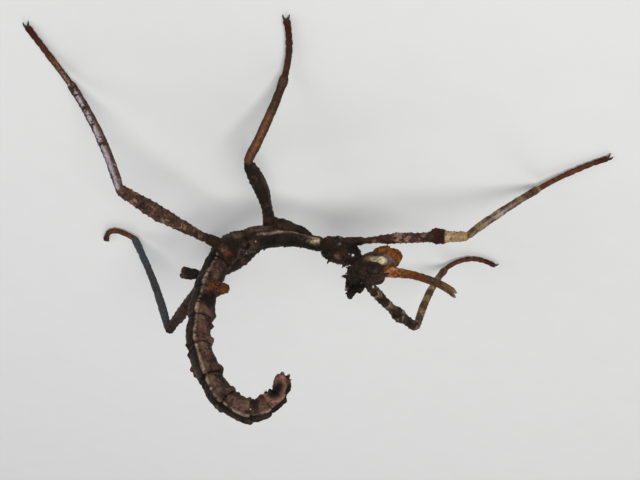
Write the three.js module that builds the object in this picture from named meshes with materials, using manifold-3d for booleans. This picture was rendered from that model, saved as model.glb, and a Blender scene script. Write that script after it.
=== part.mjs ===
// A young giant prickly stick insect, about 30 mm long when stretched out, standing on six feet
// with its abdomen curled up and forward over its back. Units are millimetres. +X points to the
// head, +Y to the insect's left side and +Z up. The feet stand on the plane z = 0.
import * as THREE from 'three';
import { mergeVertices } from 'three/addons/utils/BufferGeometryUtils.js';
import Module from 'manifold-3d';

const wasm = await Module();
wasm.setup();

// ---- driving dimensions ---------------------------------------------------------------------

const GAP = 0.06;            // clear space left between neighbouring pieces
const BODY_SIDES = 14;       // facets round a body section
const LIMB_SIDES = 10;       // facets round a leg or feeler section
const FOOT_DROP = 0.05;      // how far the foot tube would reach below the floor before it is cut
const ANKLE_HEIGHT = 0.55;   // height of every tibia's lower end
const COXA_LENGTH = 1.05;    // first joint of each leg, measured along the femur's line

// Points of the body's axis in its upright middle plane, as [x, z], from the neck to the rump.
const NECK = [6.35, 6.12];
const PRONOTUM = [5.2, 5.66];
const COLLAR = [4.05, 5.24];
const WAIST = [2.3, 4.8];
const MID_HIPS = [0.05, 4.66];
const SADDLE = [-0.95, 4.98];
const HIND_HIPS = [-2.05, 5.62];
const RUMP = [-2.5, 6.6];

// Points of the head's own axis, from its tall crown down and forward to the mouth.
const CROWN = [6.05, 8.25];
const BROW = [6.62, 7.42];
const FACE = [7.5, 6.84];
const JAW = [8.3, 6.4];
const LIP = [8.8, 6.14];
const MOUTH = [9.1, 6.0];

// The abdomen's nine lengths from the rump: [length, pitch in degrees, half width, half height].
const ABDOMEN = [
  [2.3, 100, 0.86, 0.8],
  [2.1, 90, 0.86, 0.78],
  [2.05, 81, 0.84, 0.74],
  [2.4, 62, 0.86, 0.76],
  [2.0, 50, 0.82, 0.72],
  [1.7, 22, 0.76, 0.68],
  [0.9, -24, 0.72, 0.63],
  [0.85, -56, 0.68, 0.58],
  [1.1, -72, 0.6, 0.48],
];

// Leg lengths are shared by a left and right pair. Thickness is the half height and half width of
// the femur where it is stoutest, then the radius of the tibia and of the tarsus.
const LEG_SIZES = {
  front: { femur: 7.7, tibia: 6.8, tarsus: 4.9, deep: 0.36, wide: 0.3, shin: 0.27, foot: 0.25 },
  mid: { femur: 5.8, tibia: 5.7, tarsus: 4.2, deep: 0.45, wide: 0.34, shin: 0.3, foot: 0.25 },
  hind: { femur: 8.5, tibia: 8.1, tarsus: 4.55, deep: 0.47, wide: 0.34, shin: 0.29, foot: 0.25 },
};

// Where each pair of legs leaves the body: [x, half spacing, z].
const LEG_ROOTS = {
  front: [5.68, 0.5, 5.4],
  mid: [0.45, 0.46, 3.9],
  hind: [-2.55, 0.52, 5.65],
};

// How each leg is held. femur, tibia and the two tarsus numbers are compass headings in degrees
// from +X towards +Y, and slope is the femur's. A tarsus starts on its first heading and ends on
// its second. A bow is how far the middle of a piece stands off its chord, [to its left, upward].
const LEG_POSES = {
  front_left: {
    femur: 7.5, slope: 1.5, tibia: -20, tarsus: [36, 26], thighBow: [0.12, 0], shinBow: [0, -0.1],
  },
  front_right: {
    femur: -58, slope: 11, tibia: -54, tarsus: [45, -45], thighBow: [-0.3, 0.35], shinBow: [0, -0.3],
  },
  mid_left: {
    femur: 93, slope: -2, tibia: 57, tarsus: [68, 90], thighBow: [-0.3, 0], shinBow: [-0.12, 0],
  },
  mid_right: {
    femur: -140, slope: 7, tibia: -112, tarsus: [-112, -96], thighBow: [0.15, 0.1], shinBow: [0, 0],
  },
  hind_left: {
    femur: 120, slope: 10, tibia: 151, tarsus: [110, 103], thighBow: [0, 0.18], shinBow: [0, -0.3],
  },
  hind_right: {
    femur: -128, slope: 13, tibia: 160, tarsus: [140, -110], thighBow: [0, 0.15], shinBow: [0, -0.2],
  },
};

const HEAD_ROLL = 12;          // the head leans over, left side up, by this many degrees
const EYE_RADIUS = 0.5;
const EYE_PLACE = [7.64, 0.76, 7.24];

// The feelers lie side by side and bend at a fraction of their length. Each leaves its root on the
// first heading and slope, and ends on the second ones.
const ANTENNA = { root: [8.3, 0.35, 7.12], length: 4.85, bend: 0.64, thick: 0.25 };
const ANTENNA_WAYS = {
  left: [[-0.5, 5], [-12, 40]],
  right: [[0.5, 4], [-12, 44]],
};

// ---- colours --------------------------------------------------------------------------------

const umber = new THREE.MeshStandardMaterial({ color: 0x34231d, roughness: 0.7, metalness: 0 });
const mottled = new THREE.MeshStandardMaterial({ color: 0x4a3329, roughness: 0.7, metalness: 0 });
const violet = new THREE.MeshStandardMaterial({ color: 0x6d5a58, roughness: 0.65, metalness: 0 });
const russet = new THREE.MeshStandardMaterial({ color: 0x9a4a22, roughness: 0.6, metalness: 0 });
const eyeBrown = new THREE.MeshStandardMaterial({ color: 0x2a1d1b, roughness: 0.25, metalness: 0 });

// ---- small tools ----------------------------------------------------------------------------

const radians = THREE.MathUtils.degToRad;
const vec = (x, y, z) => new THREE.Vector3(x, y, z);
const inMiddle = ([x, z]) => vec(x, 0, z);

/** Unit vector for a compass heading and a slope, both in degrees. */
function heading(azimuth, slope) {
  const [a, e] = [radians(azimuth), radians(slope)];
  return vec(Math.cos(a) * Math.cos(e), Math.sin(a) * Math.cos(e), Math.sin(e));
}

/** A closed solid from a geometry, with shared corners merged. */
function solid(geometry) {
  const bare = geometry.clone();
  bare.deleteAttribute('normal');
  bare.deleteAttribute('uv');
  const merged = mergeVertices(bare, 1e-5);
  const mesh = new wasm.Mesh({
    numProp: 3,
    vertProperties: new Float32Array(merged.attributes.position.array),
    triVerts: new Uint32Array(merged.index.array),
  });
  return new wasm.Manifold(mesh);
}

/** The geometry of a solid. */
function geometryOf(body) {
  const mesh = body.getMesh();
  const geometry = new THREE.BufferGeometry();
  geometry.setAttribute('position', new THREE.BufferAttribute(mesh.vertProperties, 3));
  geometry.setIndex(new THREE.BufferAttribute(mesh.triVerts, 1));
  geometry.computeVertexNormals();
  return geometry;
}

/**
 * A closed tube through oval sections. Each section has a centre, a unit side vector, a unit top
 * vector and its half width and half height along them.
 */
function loft(sections, sides) {
  const points = [];
  const faces = [];
  for (const { centre, side, top, wide, high } of sections) {
    for (let i = 0; i < sides; i++) {
      const angle = (2 * Math.PI * i) / sides;
      const point = centre.clone();
      point.addScaledVector(side, wide * Math.cos(angle));
      point.addScaledVector(top, high * Math.sin(angle));
      points.push(...point.toArray());
    }
  }
  const last = sections.length - 1;
  for (let row = 0; row < last; row++) {
    for (let i = 0; i < sides; i++) {
      const next = (i + 1) % sides;
      const [a, b] = [row * sides + i, row * sides + next];
      const [c, d] = [a + sides, b + sides];
      faces.push(a, b, d, a, d, c);
    }
  }
  for (let i = 1; i < sides - 1; i++) {
    faces.push(0, i + 1, i);
    faces.push(last * sides, last * sides + i, last * sides + i + 1);
  }
  const geometry = new THREE.BufferGeometry();
  geometry.setAttribute('position', new THREE.Float32BufferAttribute(points, 3));
  geometry.setIndex(faces);
  return volumeOf(geometry) < 0 ? turnedInsideOut(geometry) : geometry;
}

/** Signed volume of a closed geometry, positive when its faces point out. */
function volumeOf(geometry) {
  const { position } = geometry.attributes;
  const corner = [0, 1, 2].map(() => vec(0, 0, 0));
  let sum = 0;
  for (let i = 0; i < geometry.index.count; i += 3) {
    corner.forEach((p, k) => p.fromBufferAttribute(position, geometry.index.getX(i + k)));
    sum += corner[0].dot(corner[1].clone().cross(corner[2])) / 6;
  }
  return sum;
}

/** The same geometry with every face turned over. */
function turnedInsideOut(geometry) {
  const index = geometry.index.array;
  for (let i = 0; i < index.length; i += 3) {
    [index[i + 1], index[i + 2]] = [index[i + 2], index[i + 1]];
  }
  return geometry;
}

/** A cone with its base's centre at root, pointing along direction. */
function spine(root, direction, length, radius, sides = 6) {
  const geometry = new THREE.ConeGeometry(radius, length, sides);
  geometry.translate(0, length / 2, 0);
  const turn = new THREE.Quaternion().setFromUnitVectors(vec(0, 1, 0), direction.clone().normalize());
  geometry.applyQuaternion(turn);
  geometry.translate(root.x, root.y, root.z);
  return solid(geometry);
}

/** A flattened leaf-like lobe: an egg-shaped body along direction, thin across its flat axis. */
function lobe(root, direction, flat, length, width, thickness) {
  const along = direction.clone().normalize();
  const thin = flat.clone().addScaledVector(along, -flat.dot(along)).normalize();
  const across = along.clone().cross(thin);
  const geometry = new THREE.SphereGeometry(0.5, 10, 6);
  const frame = new THREE.Matrix4().makeBasis(across, along, thin);
  geometry.scale(width, length * 1.3, thickness);
  geometry.translate(0, length * 0.35, 0);
  geometry.applyMatrix4(frame);
  geometry.translate(root.x, root.y, root.z);
  return solid(geometry);
}

// ---- the body's trunk -----------------------------------------------------------------------

/** The rump and the far ends of the nine abdomen lengths. */
function abdomenJoints() {
  const joints = [inMiddle(RUMP)];
  for (const [length, pitch] of ABDOMEN) {
    const step = heading(0, pitch).multiplyScalar(length);
    joints.push(joints.at(-1).clone().add(step));
  }
  return joints;
}

const trunkJoints = [NECK, PRONOTUM, COLLAR, WAIST, MID_HIPS, SADDLE, HIND_HIPS].map(inMiddle);
trunkJoints.push(...abdomenJoints());
const headJoints = [CROWN, BROW, FACE, JAW, LIP, MOUTH].map(inMiddle);

/**
 * A length of a body axis, between two of its joints. The profile is a list of [fraction, half
 * width, half height]. Its ends stand back by half a gap, and grow widens it all round.
 */
function bodyLength(joints, first, last, profile, grow = 0) {
  const axis = new THREE.CatmullRomCurve3(joints, false, 'centripetal');
  const sections = profile.map(([fraction, wide, high]) => {
    const t = (first + fraction * (last - first)) / (joints.length - 1);
    const ahead = axis.getTangent(t);
    const shift = fraction === 0 ? GAP / 2 - grow : fraction === 1 ? grow - GAP / 2 : 0;
    const centre = axis.getPoint(t).addScaledVector(ahead, shift);
    const top = vec(ahead.z, 0, -ahead.x);
    return { centre, side: vec(0, 1, 0), top, wide: wide + grow, high: high + grow };
  });
  return solid(loft(sections, BODY_SIDES));
}

// Each thorax piece: its first joint, its last joint and its profile.
const THORAX = {
  prothorax: [0, 2, [
    [0, 0.5, 0.48], [0.2, 0.7, 0.68], [0.55, 0.8, 0.76], [0.85, 0.68, 0.66], [1, 0.48, 0.46],
  ]],
  mesothorax: [2, 5, [
    [0, 0.5, 0.44], [0.2, 0.52, 0.46], [0.45, 0.62, 0.56], [0.7, 0.84, 0.76], [0.86, 0.88, 0.8],
    [1, 0.84, 0.8],
  ]],
  metathorax: [5, 7, [[0, 0.84, 0.8], [0.4, 0.94, 0.86], [0.75, 0.94, 0.88], [1, 0.84, 0.8]]],
};

/** One thorax piece, grown all round by a margin where a neighbour is cut to clear it. */
function thoraxPiece(name, grow = 0) {
  const [first, last, profile] = THORAX[name];
  return bodyLength(trunkJoints, first, last, profile, grow);
}

/** The middle-plane axis at one trunk joint: its place, its way back, and the insect's back. */
function trunkFrame(joint) {
  const axis = new THREE.CatmullRomCurve3(trunkJoints, false, 'centripetal');
  const t = joint / (trunkJoints.length - 1);
  const tail = axis.getTangent(t);
  return { centre: axis.getPoint(t), tail, back: vec(tail.z, 0, -tail.x) };
}

/** A point on or under the skin: round the section by an angle from the left side, at a reach. */
function onTrunk(joint, angle, reach) {
  const { centre, tail, back } = trunkFrame(joint);
  const out = vec(0, Math.cos(radians(angle)), 0).addScaledVector(back, Math.sin(radians(angle)));
  return { point: centre.addScaledVector(out, reach), out, tail };
}

/** A lobe that stands out from the trunk and leans towards the tail. */
function trunkLobe(joint, angle, reach, length, width, lean) {
  const { point, out, tail } = onTrunk(joint, angle, reach);
  return lobe(point, out.clone().addScaledVector(tail, lean), tail, length, width, width * 0.55);
}

/** A short spine that stands out from the trunk. */
function trunkSpine(joint, angle, reach, length) {
  const { point, out } = onTrunk(joint, angle, reach);
  return spine(point, out, length + 0.15, 0.13);
}

// ---- the head -------------------------------------------------------------------------------

/** Turns a solid with the head, which leans about the neck. */
function leaning(body) {
  const pivot = NECK[1];
  return body.translate(0, 0, -pivot).rotate(HEAD_ROLL, 0, 0).translate(0, 0, pivot);
}

/** A pair of mirrored solids, one on each side of the middle plane. */
function bothSides(make) {
  return make(1).add(make(-1));
}

function eye(side, grow = 0) {
  const geometry = new THREE.SphereGeometry(EYE_RADIUS + grow, 12, 8);
  geometry.scale(1.05, 0.85, 1);
  const [x, y, z] = EYE_PLACE;
  geometry.translate(x, side * y, z);
  return leaning(solid(geometry));
}

/** The capsule with its tall, spiny crown. */
function headCapsule(grow = 0) {
  const profile = [
    [0, 0.3, 0.26], [0.12, 0.56, 0.5], [0.33, 0.84, 0.8], [0.66, 0.98, 1], [1, 0.8, 0.78],
  ];
  return leaning(bodyLength(headJoints, 0, 3, profile, grow));
}

function crownSpines() {
  const spines = (side) => spine(vec(6.3, side * 0.3, 8.1), vec(-0.5, side * 0.5, 1), 0.75, 0.2)
    .add(spine(vec(6.95, side * 0.34, 7.75), vec(-0.1, side * 0.5, 1), 0.6, 0.2))
    .add(spine(vec(5.95, side * 0.4, 7.75), vec(-1, side * 0.6, 0.3), 0.42, 0.16));
  const crest = lobe(vec(6.75, 0, 8.0), vec(-0.55, 0, 1), vec(0, 1, 0), 1.2, 0.55, 0.4);
  return leaning(bothSides(spines).add(crest));
}

/** Lips and jaws, with a pair of short palps folded below them. */
function mouthparts(grow = 0) {
  const profile = [[0, 0.78, 0.76], [0.5, 0.62, 0.6], [1, 0.36, 0.34]];
  const lips = bodyLength(headJoints, 3, 5, profile, grow);
  const palpWay = vec(0.9, 0, 0.12);
  const palp = (side) => lobe(vec(8.35, side * 0.3, 5.8), palpWay, vec(0, 0, 1), 0.75, 0.42, 0.4);
  return leaning(grow ? lips : lips.add(bothSides(palp)));
}

/** A feeler that rises in a gentle curve from beside the eye. */
function antenna(hand, side) {
  const { root, length, bend, thick } = ANTENNA;
  const [first, last] = ANTENNA_WAYS[hand].map((way) => heading(...way));
  const start = vec(root[0], side * root[1], root[2]);
  const elbow = start.clone().addScaledVector(first, length * bend);
  const end = elbow.clone().addScaledVector(last, length * (1 - bend));
  const curve = new THREE.QuadraticBezierCurve3(start, elbow, end);
  const radii = [[0, 1.1], [0.12, 1.15], [0.3, 1], [0.6, 1], [0.85, 1], [1, 0.85]];
  const sections = radii.map(([t, scale]) => limbSection(curve, t, thick * scale, thick * scale));
  return leaning(solid(loft(sections, LIMB_SIDES)));
}

// ---- the legs -------------------------------------------------------------------------------

/** Section of a limb at one place on its curve. Its side vector stays level. */
function limbSection(curve, t, wide, high) {
  const ahead = curve.getTangent(t);
  const side = vec(-ahead.y, ahead.x, 0).normalize();
  const top = ahead.cross(side).normalize();
  return { centre: curve.getPoint(t), side, top, wide, high };
}

/** A closed tube along a curve. The profile is a list of [fraction, width scale, height scale]. */
function limb(curve, wide, high, profile, grow = 0) {
  const sections = profile.map(([t, w, h]) => limbSection(curve, t, wide * w + grow, high * h + grow));
  return solid(loft(sections, LIMB_SIDES));
}

/** A curve between two joints whose middle stands off the chord by a bow, [to its left, upward]. */
function bowed(start, end, [aside, upward]) {
  const chord = end.clone().sub(start);
  const left = vec(-chord.y, chord.x, 0).normalize();
  const up = chord.clone().cross(left).normalize();
  const push = left.multiplyScalar(aside / 0.75).addScaledVector(up, upward / 0.75);
  const near = start.clone().lerp(end, 1 / 3).add(push);
  const far = start.clone().lerp(end, 2 / 3).add(push);
  return new THREE.CubicBezierCurve3(start, near, far, end);
}

const FEMUR_PROFILES = {
  front: [
    [0.14, 0.85, 0.62], [0.35, 0.88, 0.7], [0.58, 0.96, 0.84], [0.69, 1, 0.9], [0.75, 1.1, 1.45],
    [0.82, 1.1, 1.45], [0.87, 0.95, 0.88], [0.97, 0.92, 0.84], [1, 0.6, 0.55],
  ],
  mid: [
    [0.19, 0.9, 0.8], [0.35, 0.95, 0.86], [0.55, 1, 1], [0.72, 1, 1.02], [0.86, 0.9, 0.8],
    [0.97, 0.84, 0.72], [1, 0.55, 0.46],
  ],
  hind: [
    [0.13, 0.8, 0.6], [0.3, 0.86, 0.66], [0.5, 0.95, 0.86], [0.66, 1, 1.06], [0.78, 0.96, 0.98],
    [0.88, 0.86, 0.74], [0.97, 0.84, 0.68], [1, 0.55, 0.44],
  ],
};
const COXA_PROFILE = [[0, 1.1, 1.1], [0.5, 1.15, 1.12], [1, 0.95, 0.95]];
const TIBIA_PROFILE = [
  [0, 0.7, 0.7], [0.03, 1.02, 1.08], [0.15, 0.98, 1.02], [0.35, 0.94, 0.98], [0.6, 0.92, 0.95],
  [0.85, 0.92, 0.95], [0.97, 1.02, 1.05], [1, 0.75, 0.75],
];
const TARSUS_PROFILE = [
  [0, 0.9, 0.9], [0.05, 1, 1], [0.2, 1, 1], [0.35, 1, 1], [0.5, 1, 1], [0.65, 1, 1], [0.8, 1, 1],
  [0.93, 1, 1], [1, 0.85, 0.85],
];

/** The joints of one leg, from its root to the ankle, with the shin's slope set by the heights. */
function legJoints(size, rootPlace, pose, side) {
  const [x, y, z] = rootPlace;
  const root = vec(x, side * y, z);
  const knee = root.clone().addScaledVector(heading(pose.femur, pose.slope), size.femur);
  const shinSlope = -THREE.MathUtils.radToDeg(Math.asin((knee.z - ANKLE_HEIGHT) / size.tibia));
  const ankle = knee.clone().addScaledVector(heading(pose.tibia, shinSlope), size.tibia);
  return { root, knee, ankle };
}

/** The foot's line: down from the ankle on its first heading, then level along the floor. */
function soleCurve(ankle, size, [first, last]) {
  const middle = ankle.clone().addScaledVector(heading(first, 0), size.tarsus / 2);
  middle.z = size.foot - FOOT_DROP;
  const toe = middle.clone().addScaledVector(heading(last, 0), size.tarsus / 2);
  return new THREE.QuadraticBezierCurve3(ankle, middle, toe);
}

/** Two small claws that spread at the toe. */
function claws(toe, azimuth) {
  const claw = (turn) => spine(toe, heading(azimuth + turn, -12), 0.45, 0.12, 5);
  return claw(24).add(claw(-24));
}

/** Everything below the floor, to be cut from a foot so that it stands on a small flat. */
function underFloor(toe) {
  const slab = new THREE.BoxGeometry(12, 12, 2);
  slab.translate(toe.x, toe.y, -1);
  return solid(slab);
}

/** The four pieces of one leg, each cut to clear the piece it grows from. */
function legPieces(pair, hand, thoraxName) {
  const size = LEG_SIZES[pair];
  const side = hand === 'left' ? 1 : -1;
  const pose = LEG_POSES[`${pair}_${hand}`];
  const { root, knee, ankle } = legJoints(size, LEG_ROOTS[pair], pose, side);

  const thigh = bowed(root, knee, pose.thighBow);
  const coxaCurve = new THREE.LineCurve3(root, thigh.getPoint(COXA_LENGTH / size.femur));
  const coxaRadius = size.wide * 1.05;
  const coxa = (grow) => limb(coxaCurve, coxaRadius, coxaRadius, COXA_PROFILE, grow);
  const femurAt = (grow) => limb(thigh, size.wide, size.deep, FEMUR_PROFILES[pair], grow);
  const shin = bowed(knee, ankle, pose.shinBow);
  const tibiaAt = (grow) => limb(shin, size.shin, size.shin, TIBIA_PROFILE, grow);
  const sole = soleCurve(ankle, size, pose.tarsus);
  const toe = sole.getPoint(1);
  const foot = limb(sole, size.foot, size.foot, TARSUS_PROFILE).add(claws(toe, pose.tarsus[1]));

  return {
    coxa: coxa(0).subtract(thoraxPiece(thoraxName, GAP)),
    femur: femurAt(0).subtract(coxa(GAP)),
    tibia: tibiaAt(0).subtract(femurAt(GAP)),
    tarsus: foot.subtract(tibiaAt(GAP)).subtract(underFloor(toe)),
  };
}

// ---- assembly -------------------------------------------------------------------------------

const insect = new THREE.Group();

function addPiece(name, body, material) {
  const mesh = new THREE.Mesh(geometryOf(body), material);
  mesh.name = name;
  insect.add(mesh);
}

const prothoraxSpines = trunkSpine(0.8, 35, 0.7, 0.3).add(trunkSpine(0.8, 145, 0.7, 0.3))
  .add(trunkSpine(1.3, 60, 0.7, 0.28)).add(trunkSpine(1.3, 120, 0.7, 0.28));
addPiece('prothorax', thoraxPiece('prothorax').add(prothoraxSpines), umber);
addPiece('mesothorax', thoraxPiece('mesothorax'), umber);
addPiece('metathorax', thoraxPiece('metathorax'), umber);

const head = headCapsule().add(crownSpines()).subtract(thoraxPiece('prothorax', GAP))
  .subtract(mouthparts(GAP)).subtract(eye(1, GAP)).subtract(eye(-1, GAP));
addPiece('head', head, umber);
addPiece('mouthparts', mouthparts(), russet);
for (const [hand, side] of [['left', 1], ['right', -1]]) {
  addPiece(`eye_${hand}`, eye(side), eyeBrown);
  const feeler = antenna(hand, side).subtract(headCapsule(GAP)).subtract(mouthparts(GAP))
    .subtract(eye(side, GAP));
  addPiece(`antenna_${hand}`, feeler, russet);
}

// Lobes that grow from some abdomen lengths: [length number, trunk joint, angle from the left
// side towards the back, depth of the root, lobe length, lobe width, lean towards the tail].
const ABDOMEN_LOBES = [
  [1, 7.85, 62, 0.55, 1.5, 0.95, 0.5],
  [1, 7.35, 255, 0.6, 2.1, 0.75, -0.15],
  [3, 9.75, 90, 0.45, 0.7, 0.45, 0.4],
  [4, 10.75, -60, 0.45, 0.7, 0.45, 0.4],
  [5, 11.75, 90, 0.45, 0.65, 0.4, 0.4],
  [6, 12.7, -70, 0.4, 0.65, 0.4, 0.4],
  [8, 14.5, 90, 0.3, 0.6, 0.3, 0.4],
];

/** One of the abdomen's nine lengths, broadest near its hind edge. */
function abdomenLength(number, grow = 0) {
  const [, , wide, high] = ABDOMEN[number - 1];
  const profile = [
    [0, wide * 0.92, high * 0.94], [0.45, wide * 0.95, high], [0.85, wide * 1.06, high * 1.04],
    [1, wide * 0.95, high * 0.95],
  ];
  return bodyLength(trunkJoints, 6 + number, 7 + number, profile, grow);
}

for (let number = 1; number <= ABDOMEN.length; number++) {
  let piece = abdomenLength(number);
  for (const [owner, joint, angle, depth, length, width, lean] of ABDOMEN_LOBES) {
    if (owner !== number) continue;
    const growth = trunkLobe(joint, angle, depth, length, width, lean);
    piece = piece.add(growth.subtract(abdomenLength(number + 1, GAP)));
  }
  addPiece(`abdomen_${number}`, piece, mottled);
}

const LEG_HOLDERS = { front: 'prothorax', mid: 'mesothorax', hind: 'metathorax' };
for (const [pair, holder] of Object.entries(LEG_HOLDERS)) {
  for (const hand of ['left', 'right']) {
    const pieces = legPieces(pair, hand, holder);
    const colours = { coxa: umber, femur: mottled, tibia: violet, tarsus: russet };
    for (const [part, body] of Object.entries(pieces)) {
      addPiece(`${part}_${pair}_${hand}`, body, colours[part]);
    }
  }
}

// The origin is on the floor, below the middle of the space the insect takes up.
const extent = new THREE.Box3().setFromObject(insect);
const middle = extent.getCenter(vec(0, 0, 0));
insect.position.set(-middle.x, -middle.y, 0);

export default insect;
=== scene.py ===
"""A young prickly stick insect as a still, life-size model, on a plain pale floor.

The animal is built in millimetres from its body axis and leg lines. One skin is grown round them,
then given its relief and its markings, with some painted shade and highlights, point by point from where
each point lies on the body.
"""
import math

import bmesh
import bpy
import numpy as np
from mathutils import Matrix, Vector


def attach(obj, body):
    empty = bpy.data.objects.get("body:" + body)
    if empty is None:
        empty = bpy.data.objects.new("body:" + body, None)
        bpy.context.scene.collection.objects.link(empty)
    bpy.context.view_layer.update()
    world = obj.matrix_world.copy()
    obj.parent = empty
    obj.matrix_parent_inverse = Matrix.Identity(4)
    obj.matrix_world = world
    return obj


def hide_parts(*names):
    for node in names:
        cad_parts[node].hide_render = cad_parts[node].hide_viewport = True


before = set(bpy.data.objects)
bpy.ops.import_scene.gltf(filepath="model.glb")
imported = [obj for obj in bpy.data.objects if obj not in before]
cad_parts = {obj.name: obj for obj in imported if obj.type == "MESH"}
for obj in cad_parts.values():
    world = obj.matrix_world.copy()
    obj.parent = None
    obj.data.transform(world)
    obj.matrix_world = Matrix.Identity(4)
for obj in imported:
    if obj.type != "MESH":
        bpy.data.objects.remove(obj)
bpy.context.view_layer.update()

# ---- sizes in millimetres, as in the CAD ----

MM = 0.001
SHIFT = np.array([-3.96367, -1.26086, 0.0])      # puts the origin below the middle of the insect
LEFT = np.array([0, 1.0, 0])
UPRIGHT = np.array([0, 0, 1.0])

# The body's axis, from the neck to the rump, and the head's, from its crown to the mouth, as x, z.
TRUNK = [(6.35, 6.12), (5.2, 5.66), (4.05, 5.24), (2.3, 4.8), (0.05, 4.66), (-0.95, 4.98),
         (-2.05, 5.62), (-2.5, 6.6)]
HEAD = [(6.05, 8.25), (6.62, 7.42), (7.5, 6.84), (8.3, 6.4), (8.8, 6.14), (9.1, 6.0)]
NECK_HEIGHT = 6.12
NECK_RADIUS = 0.42
HEAD_ROLL = 12.0             # how far the head leans to its right, in degrees

# The abdomen's nine lengths from the rump: length, pitch in degrees, half width, half height.
ABDOMEN = [(2.3, 100, 0.86, 0.8), (2.1, 90, 0.86, 0.78), (2.05, 81, 0.84, 0.74),
           (2.4, 62, 0.86, 0.76), (2.0, 50, 0.82, 0.72), (1.7, 22, 0.76, 0.68),
           (0.9, -24, 0.72, 0.63), (0.85, -56, 0.68, 0.58), (1.1, -72, 0.6, 0.48)]

# Places along the trunk are counted in its joints: 0 is at the neck and RUMP where the abdomen
# begins. The pronotum ends at COLLAR, and the broad rear of the thorax begins at HIPS.
COLLAR = 2.05
HIPS = 4.7
RUMP = len(TRUNK) - 1
TAIL = RUMP + len(ABDOMEN)

# Half width and half height at places along the thorax and along the head.
THORAX = [(0.0, 0.5, 0.5), (0.4, 0.76, 0.76), (1.1, 0.85, 0.84), (1.7, 0.7, 0.68),
          (2.0, 0.5, 0.46), (2.6, 0.52, 0.46), (3.35, 0.62, 0.56), (4.1, 0.83, 0.76),
          (4.6, 0.86, 0.78), (5.0, 0.84, 0.8), (5.8, 0.92, 0.85), (6.5, 0.92, 0.86),
          (7.0, 0.82, 0.78)]
HEAD_SIZES = [(0.0, 0.3, 0.26), (0.36, 0.56, 0.5), (1.0, 0.84, 0.8), (2.0, 0.96, 0.98),
              (3.0, 0.78, 0.76), (4.0, 0.6, 0.58), (5.0, 0.34, 0.32)]

EYE_RADIUS = 0.5
EYE_STRETCH = (1.05, 0.8, 1.0)
EYE_PLACE = (7.66, 0.68, 7.26)

# The feelers lie side by side. Each leaves its root on the first heading and slope, bends, and
# ends on the second ones. Their sizes are radii at parts of their length.
FEELER_ROOT = (8.3, 0.35, 7.12)
FEELER_LENGTH = 4.85
FEELER_BEND = 0.64
FEELER_WAYS = {1: ((-0.5, 5), (-12, 40)), -1: ((0.5, 4), (-12, 44))}
FEELER_SIZES = [(0, 0.23), (0.1, 0.23), (0.13, 0.17), (0.19, 0.18), (0.22, 0.15), (0.5, 0.14),
                (0.7, 0.15), (0.92, 0.14), (1, 0.09)]

COXA_LENGTH = 1.05
ANKLE_HEIGHT = 0.55
FOOT_HEIGHT = 0.2            # of a tarsus's axis, at its middle and its toe
FOOT_JOINTS = (0.4, 0.55, 0.67, 0.79)

# Lengths of femur, tibia and tarsus, then the femur's half height and half width, and the radii
# of tibia and tarsus.
LEG_SIZES = {
    "front": (7.7, 6.8, 4.9, 0.36, 0.3, 0.25, 0.18),
    "mid": (5.8, 5.7, 4.2, 0.46, 0.42, 0.31, 0.2),
    "hind": (8.5, 8.1, 4.55, 0.49, 0.38, 0.28, 0.2),
}
LEG_ROOTS = {"front": (5.68, 0.5, 5.4), "mid": (0.45, 0.46, 3.9), "hind": (-2.55, 0.52, 5.65)}

# Compass headings of femur, tibia and both ends of the tarsus, the femur's slope, and the bows of
# femur and tibia, which say how far the middle stands off the chord, to its left and upward.
LEG_POSES = {
    ("front", 1): (7.5, -20, (36, 26), 1.5, (0.12, 0), (0, -0.1)),
    ("front", -1): (-58, -54, (45, -45), 11, (-0.3, 0.35), (0, -0.3)),
    ("mid", 1): (93, 57, (68, 90), -2, (-0.3, 0), (-0.12, 0)),
    ("mid", -1): (-140, -112, (-112, -96), 7, (0.15, 0.1), (0, 0)),
    ("hind", 1): (120, 151, (110, 103), 10, (0, 0.18), (0, -0.3)),
    ("hind", -1): (-128, 160, (140, -110), 13, (0, 0.15), (0, -0.2)),
}

# Half width and half height along femur, tibia and tarsus, as fractions of the stoutest size.
FEMUR_PROFILES = {
    "front": [(0.1, 0.46, 0.36), (0.25, 0.6, 0.46), (0.34, 0.9, 0.85), (0.46, 1, 0.95),
              (0.6, 0.92, 0.84), (0.7, 0.86, 0.8), (0.745, 1.1, 1.4), (0.82, 1.12, 1.45),
              (0.845, 0.95, 0.9), (0.97, 0.9, 0.84), (1, 0.7, 0.65)],
    "mid": [(0.1, 0.74, 0.7), (0.35, 0.88, 0.86), (0.55, 1.08, 1.06), (0.75, 1.12, 1.1),
            (0.88, 0.92, 0.88), (0.97, 0.72, 0.66), (1, 0.55, 0.5)],
    "hind": [(0.1, 0.66, 0.52), (0.3, 0.76, 0.64), (0.5, 0.95, 0.86), (0.66, 1, 1.04),
             (0.78, 0.96, 0.98), (0.88, 0.84, 0.76), (0.97, 0.78, 0.66), (1, 0.62, 0.52)],
}
SHIN_PROFILE = [(0, 0.75, 0.75), (0.05, 0.92, 0.95), (0.2, 1, 1.04), (0.5, 0.94, 0.98),
                (0.85, 0.86, 0.88), (0.97, 0.98, 1), (1, 0.8, 0.8)]
FOOT_PROFILE = [(0, 1, 1), (0.36, 0.95, 0.95), (0.4, 1.08, 1.08), (0.9, 0.95, 0.95),
                (0.97, 1.15, 1), (1, 0.8, 0.7)]

# ---- lobes, mounds, thorns and spines ----

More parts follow.
